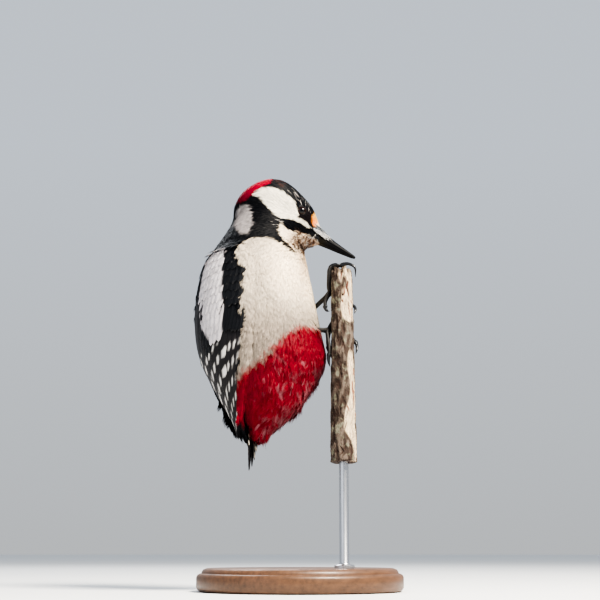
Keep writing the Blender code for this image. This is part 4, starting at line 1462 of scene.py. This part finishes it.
# rings of points along a smooth path, with horny plates on the side that looks away from the perch
def tubeRings(places, radii, steps, around, shape=(1.0, 1.0), plates=0.0):
    places = np.array(places)
    marks = np.concatenate([[0], np.cumsum(np.linalg.norm(np.diff(places, axis=0), axis=1))])
    at = np.linspace(0, marks[-1], steps)
    centres = np.stack([smoothValue(at, marks, places[:, k]) for k in range(3)], axis=1)
    reach = np.maximum(smoothValue(at, marks, np.array(radii, float)), 0.05)
    run = unit(np.gradient(centres, axis=0))
    own = intoFrame(perchFrame, centres)
    inner = np.stack([0 * own[:, 0], 0 * own[:, 1], np.minimum(own[:, 2], feet["overTop"])], axis=1)
    side = unit(np.cross(run, centres - outOfFrame(perchFrame, inner)))
    top = np.cross(side, run)
    turns = np.arange(around) * math.tau / around
    part = (at / feet["scute"]) % 1
    plate = plates * (1 - part) * np.clip(part * 6, 0, 1)
    upper = ease(np.sin(turns), -0.45, 0.1)
    across = reach[:, None] * shape[0] + plate[:, None] * upper
    upward = reach[:, None] * shape[1] + plate[:, None] * upper
    rings = (
        centres[:, None]
        + side[:, None] * (np.cos(turns) * across)[..., None]
        + top[:, None] * (np.sin(turns) * upward)[..., None]
    )
    groove = (1 - np.clip(part * 4, 0, 1))[:, None] * upper * (plates > 0)
    return rings, groove


def makeFoot(side):
    ankle = onPerch(feet["ankle"][side])[0]
    heel = np.array(legs["heel"][side])
    run, length = unit(ankle - heel), np.linalg.norm(ankle - heel)
    marks = (-4, 0, length * 0.45, length - 3.0, length - 0.8, length + 0.6, length + 1.6)
    shank = [heel + run * mark for mark in marks]
    tubes = [tubeRings(shank, feet["shankRadii"], 90, 24, plates=feet["shankScuteHeight"])]
    for number in feet["toes"][side]:
        toe, claw = onPerch(*feet["toes"][side][number]), onPerch(*feet["claws"][side][number])
        # the toe ends within its claw
        inside = [claw[0] * 0.7 + claw[1] * 0.3, claw[0] * 0.3 + claw[1] * 0.7]
        path = [ankle, *toe, *inside]
        tubes.append(tubeRings(path, feet["toeRadii"], 84, 22, (1.0, 0.94), feet["scuteHeight"]))
        rings, _ = tubeRings([toe[-1], *claw], feet["clawRadii"], 40, 18, (0.74, 1.10))
        bm = loftOf(rings)
        seat(bm)
        name = f"claw_{side}_{number}"
        piece = pieceFrom(bm, "horn_" + name, finishes["claw"])
        putTint(piece.data, [feet["horn"]])
        ridden(piece, "horn", name)
    bm = bmesh.new()
    tints = []
    for rings, groove in tubes:
        mesh = meshOf(loftOf(rings), "tube")
        bm.from_mesh(mesh)
        bpy.data.meshes.remove(mesh)
        tints.append(blended(evenly(feet["skin"], groove.size), groove.ravel(), feet["groove"]))
    seat(bm)
    piece = pieceFrom(bm, "foot_skin_" + side, finishes["footSkin"])
    tint = np.concatenate(tints)
    putTint(piece.data, tint * (1 + 0.35 * grain(verticesOf(piece.data), 1.2, 14))[:, None])
    ridden(piece, "bare_skin", "shank_" + side, *(f"toe_{side}_{number}" for number in range(1, 5)))


stub = {
    "length": 105.4,
    "radii": (6.5, 5.2),  # at the foot and at the top
    "breakDepth": 2.6,  # how deep the broken top is hollowed
    "breakHeight": 13,  # how far down the break reaches
    "sides": 150,
    "rings": 300,
    "bareAndLitSide": -147,  # where most of the bark has gone, in degrees round the stub; the pale bare wood there also stands for painted light on that side
    "split": (-146, 87, 99),  # a dark split in the bare wood: its side, its foot and its head
    "wood": (0.60, 0.47, 0.32),
    "bark": (0.045, 0.029, 0.020),
    "greyBark": (0.125, 0.092, 0.070),
    "crack": (0.040, 0.016, 0.009),
    "rust": (0.17, 0.035, 0.014),
    "splitColour": (0.075, 0.012, 0.006),
    "lichen": (0.22, 0.22, 0.15),
}


def makeStub():
    bm = bmesh.new()
    bmesh.ops.create_cone(
        bm, segments=stub["sides"], radius1=stub["radii"][0], radius2=stub["radii"][1], depth=stub["length"],
        cap_ends=True,
    )
    bmesh.ops.translate(bm, vec=(0, 0, stub["length"] / 2), verts=bm.verts)
    uprights = [edge for edge in bm.edges if abs(edge.verts[0].co.z - edge.verts[1].co.z) > 1]
    bmesh.ops.subdivide_edges(bm, edges=uprights, cuts=stub["rings"], use_grid_fill=True)
    for level in (0, stub["length"]):
        cap = [face for face in bm.faces if all(abs(v.co.z - level) < 0.01 for v in face.verts)]
        for _ in range(9):
            bmesh.ops.inset_region(bm, faces=cap, thickness=0.48)
        bmesh.ops.poke(bm, faces=cap)
    points = np.array([corner.co[:] for corner in bm.verts])
    turn = np.arctan2(points[:, 0], points[:, 1])
    radius = np.hypot(points[:, 0], points[:, 1])
    rim = np.clip(radius / partWay(stub["radii"], points[:, 2] / stub["length"]), 0, 1)
    outer = rim > 0.995
    wander = np.stack([grain(points, 5, 51), grain(points, 5, 52), 0 * radius], axis=1) * 1.6
    upright = (points + wander) * (1, 1, 0.07)
    cracks = np.clip(1 - abs(grain(upright, 2.4, 33)) / 0.055, 0, 1) * ease(grain(points, 7, 38), -0.15, 0.1)
    fibres = grain(upright, 0.42, 39) + 0.6 * grain(points * (1, 1, 0.05), 0.9, 43)
    flakes = np.round(grain(points * (1, 1, 0.35), 1.7, 31) * 5 + 0.3 * grain(points, 0.4, 44)) / 5
    fine = grain(points * (1, 1, 0.4), 0.45, 32)
    # bare pale wood on one side and dark bark on the other: partly the stub's own wear, partly painted light
    # on the bare side and painted shade on the bark side
    facing = np.cos(turn - math.radians(stub["bareAndLitSide"]))
    bareAndLit = facing + 0.6 * grain(points * (1, 1, 0.25), 5, 34) + 0.24 * ease(points[:, 2], 62, 92)
    bareAndLit = ease(bareAndLit, 0.90, 1.0)
    side, foot, head = stub["split"]
    gap = (np.degrees(turn) - side + 180) % 360 - 180 + 9 * grain(points * (0, 0, 1), 4, 45)
    split = np.exp(-((np.radians(gap) * radius / 0.55) ** 2)) * ease(points[:, 2], foot, foot + 4)
    split *= ease(-points[:, 2], -head, 1.5 - head)
    bark = 1 - bareAndLit
    raised = bark * (0.30 + 0.55 * flakes + 0.22 * fine) + bareAndLit * (0.24 * fibres + 0.14 * fine)
    raised -= cracks * (0.55 + 0.35 * bareAndLit) + 0.25 * ease(-flakes, 0.15, 0.3) * bark + 0.8 * split
    radius = np.where(outer, radius + np.clip(raised, -1.2, 0.6), radius)
    high = ease(points[:, 2], stub["length"] - stub["breakHeight"], stub["length"])
    flat = points * (1, 1, 0)
    splinter = 0.5 + 0.5 * np.sin(0.12 * np.degrees(turn) + 0.6) + 0.9 * grain(flat, 0.9, 35)
    splinter = splinter * ease(rim, 0.5, 1.0) + 1 - ease(rim, 0, 0.8)
    splinter = (stub["breakDepth"] * splinter + 0.9 * grain(flat, 0.35, 36)) * high
    height = points[:, 2] - np.clip(splinter, -0.6, 5)
    moved = np.stack([radius * np.sin(turn), radius * np.cos(turn), height], axis=1)
    for corner, place in zip(bm.verts, outOfFrame(perchFrame, moved) * mm):
        corner.co = place
    colours = evenly(stub["wood"], len(points)) * (0.92 + 0.55 * fibres + 0.25 * fine)[:, None]
    barkTint = blended(evenly(stub["bark"], len(points)), ease(flakes, -0.1, 0.35), stub["greyBark"])
    colours = colours * (1 - bark[:, None]) + barkTint * bark[:, None]
    patches = ease(grain(points, 2.6, 36) + 0.4 * fine, 0.26, 0.36)
    colours = blended(colours, patches * bark * outer * 0.55, stub["lichen"])
    colours = blended(colours, ease(grain(upright, 1.9, 37), 0.22, 0.34) * bareAndLit * outer * 0.8, stub["rust"])
    colours = blended(colours, np.clip(cracks * 1.6, 0, 1) * outer, stub["crack"])
    colours = blended(colours, ease(-flakes, 0.12, 0.3) * bark * outer * 0.7, stub["crack"])
    colours = blended(colours, np.clip(split * 1.5, 0, 1) * outer, stub["splitColour"])
    ragged = ease(points[:, 2] + 2.5 * grain(points, 1.5, 40), stub["length"] - 3.2, stub["length"] - 0.5)
    colours = blended(colours, ragged * 0.7, stub["bark"])
    colours = blended(colours, (1 - ease(rim, 0.7, 0.98)) * 0.75, stub["crack"])
    piece = pieceFrom(bm, "perch_stub", finishes["bark"])
    putTint(piece.data, colours)
    ridden(piece, "bark", "perch")


# a solid turned about an upright line, from its outline as (distance from the line, height)
def turnedPiece(outline, centre, steps):
    bm = bmesh.new()
    corners = [bm.verts.new((centre[0] + far, centre[1], height)) for far, height in outline]
    for pair in zip(corners, corners[1:]):
        bm.edges.new(pair)
    spun(bm, centre, steps)
    bmesh.ops.recalc_face_normals(bm, faces=bm.faces)
    seat(bm)
    return bm


stand = {
    "base": (  # half of its outline, from the middle of the underside to the middle of the top
        (0, 0), (51, 0), (53, 0.6), (54, 2.2), (54, 7.4), (53.4, 8.6), (52.2, 9.2), (51.4, 9.4), (51.2, 10.2),
        (50.4, 11.3), (48.6, 12), (0, 12),
    ),
    "rodRadius": 2.5,
    "collarRadius": 5.2,
    "wood": (0.13, 0.062, 0.030),
    "steel": (0.56, 0.56, 0.57),
}


def makeStand():
    rodLow, rodHigh = (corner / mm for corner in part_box("stand_rod"))
    centre = ((rodLow.x + rodHigh.x) / 2, (rodLow.y + rodHigh.y) / 2)
    base = pieceFrom(turnedPiece(stand["base"], (0, 0), 160), "stand_base_wood", finishes["wood"])
    base.data.set_sharp_from_angle(angle=math.radians(40))
    putTint(base.data, [stand["wood"]])
    ridden(base, "stand_wood", "stand_base")
    radius, collar, foot, top = stand["rodRadius"], stand["collarRadius"], stand["base"][-1][1], rodHigh.z
    outline = (
        (0, foot), (collar, foot), (collar, foot + 1.4), (collar - 0.5, foot + 1.9),
        (radius + 0.5, foot + 2.2), (radius, foot + 2.8), (radius, top - 0.3), (radius - 0.3, top), (0, top),
    )
    rod = pieceFrom(turnedPiece(outline, centre, 64), "stand_rod_steel", finishes["steel"])
    rod.data.set_sharp_from_angle(angle=math.radians(40))
    putTint(rod.data, [stand["steel"]])
    ridden(rod, "stand_metal", "stand_rod")


print("scene: studio")
makeStudio()
vaneBarbs = vaneGroup()
finishes = {
    "coat": featherFinish("plumage", 90.0, 0.03, Specular_IOR_Level=0.10),
    "quill": featherFinish("quills", 250.0, 0.02, Specular_IOR_Level=0.22),
    "lid": tintedFinish("lidSkin", 0.6, 0.4, 0.05, Specular_IOR_Level=0.15),
    "bill": tintedFinish("billHorn", 0.52, 1.2, 0.04, 0.35, headFrame, (6, 1, 1), Specular_IOR_Level=0.12),
    "claw": tintedFinish("clawHorn", 0.28, 0.8, 0.03, 0.25),
    "footSkin": tintedFinish("footSkin", 0.55, 0.35, 0.06, 0.35, Specular_IOR_Level=0.3),
    "bark": tintedFinish("weatheredWood", 0.9, 1.1, 0.25, 0.45, perchFrame, (1, 1, 5)),
    "wood": tintedFinish("turnedWood", 0.45, 2.6, 0.03, 0.5, stretch=(9, 1, 1), Coat_Weight=0.12),
    "steel": tintedFinish("brushedSteel", 0.3, 0.6, 0.01, 0.15, stretch=(1, 1, 12), Metallic=1.0),
}
print("scene: skin")
base = makeSkin()
print("scene: coat")
makeCoat(base)
makeBristles(base)
print("scene: wings and tail")
for side, sign in sides.items():
    makeWing(side, sign)
makeTail()
print("scene: eyes, bill and feet")
for side, sign in sides.items():
    makeEye(side, sign)
    makeFoot(side)
for part, sign in (("upper", 1), ("lower", -1)):
    makeBill(part, sign)
print("scene: perch and stand")
makeStub()
makeStand()
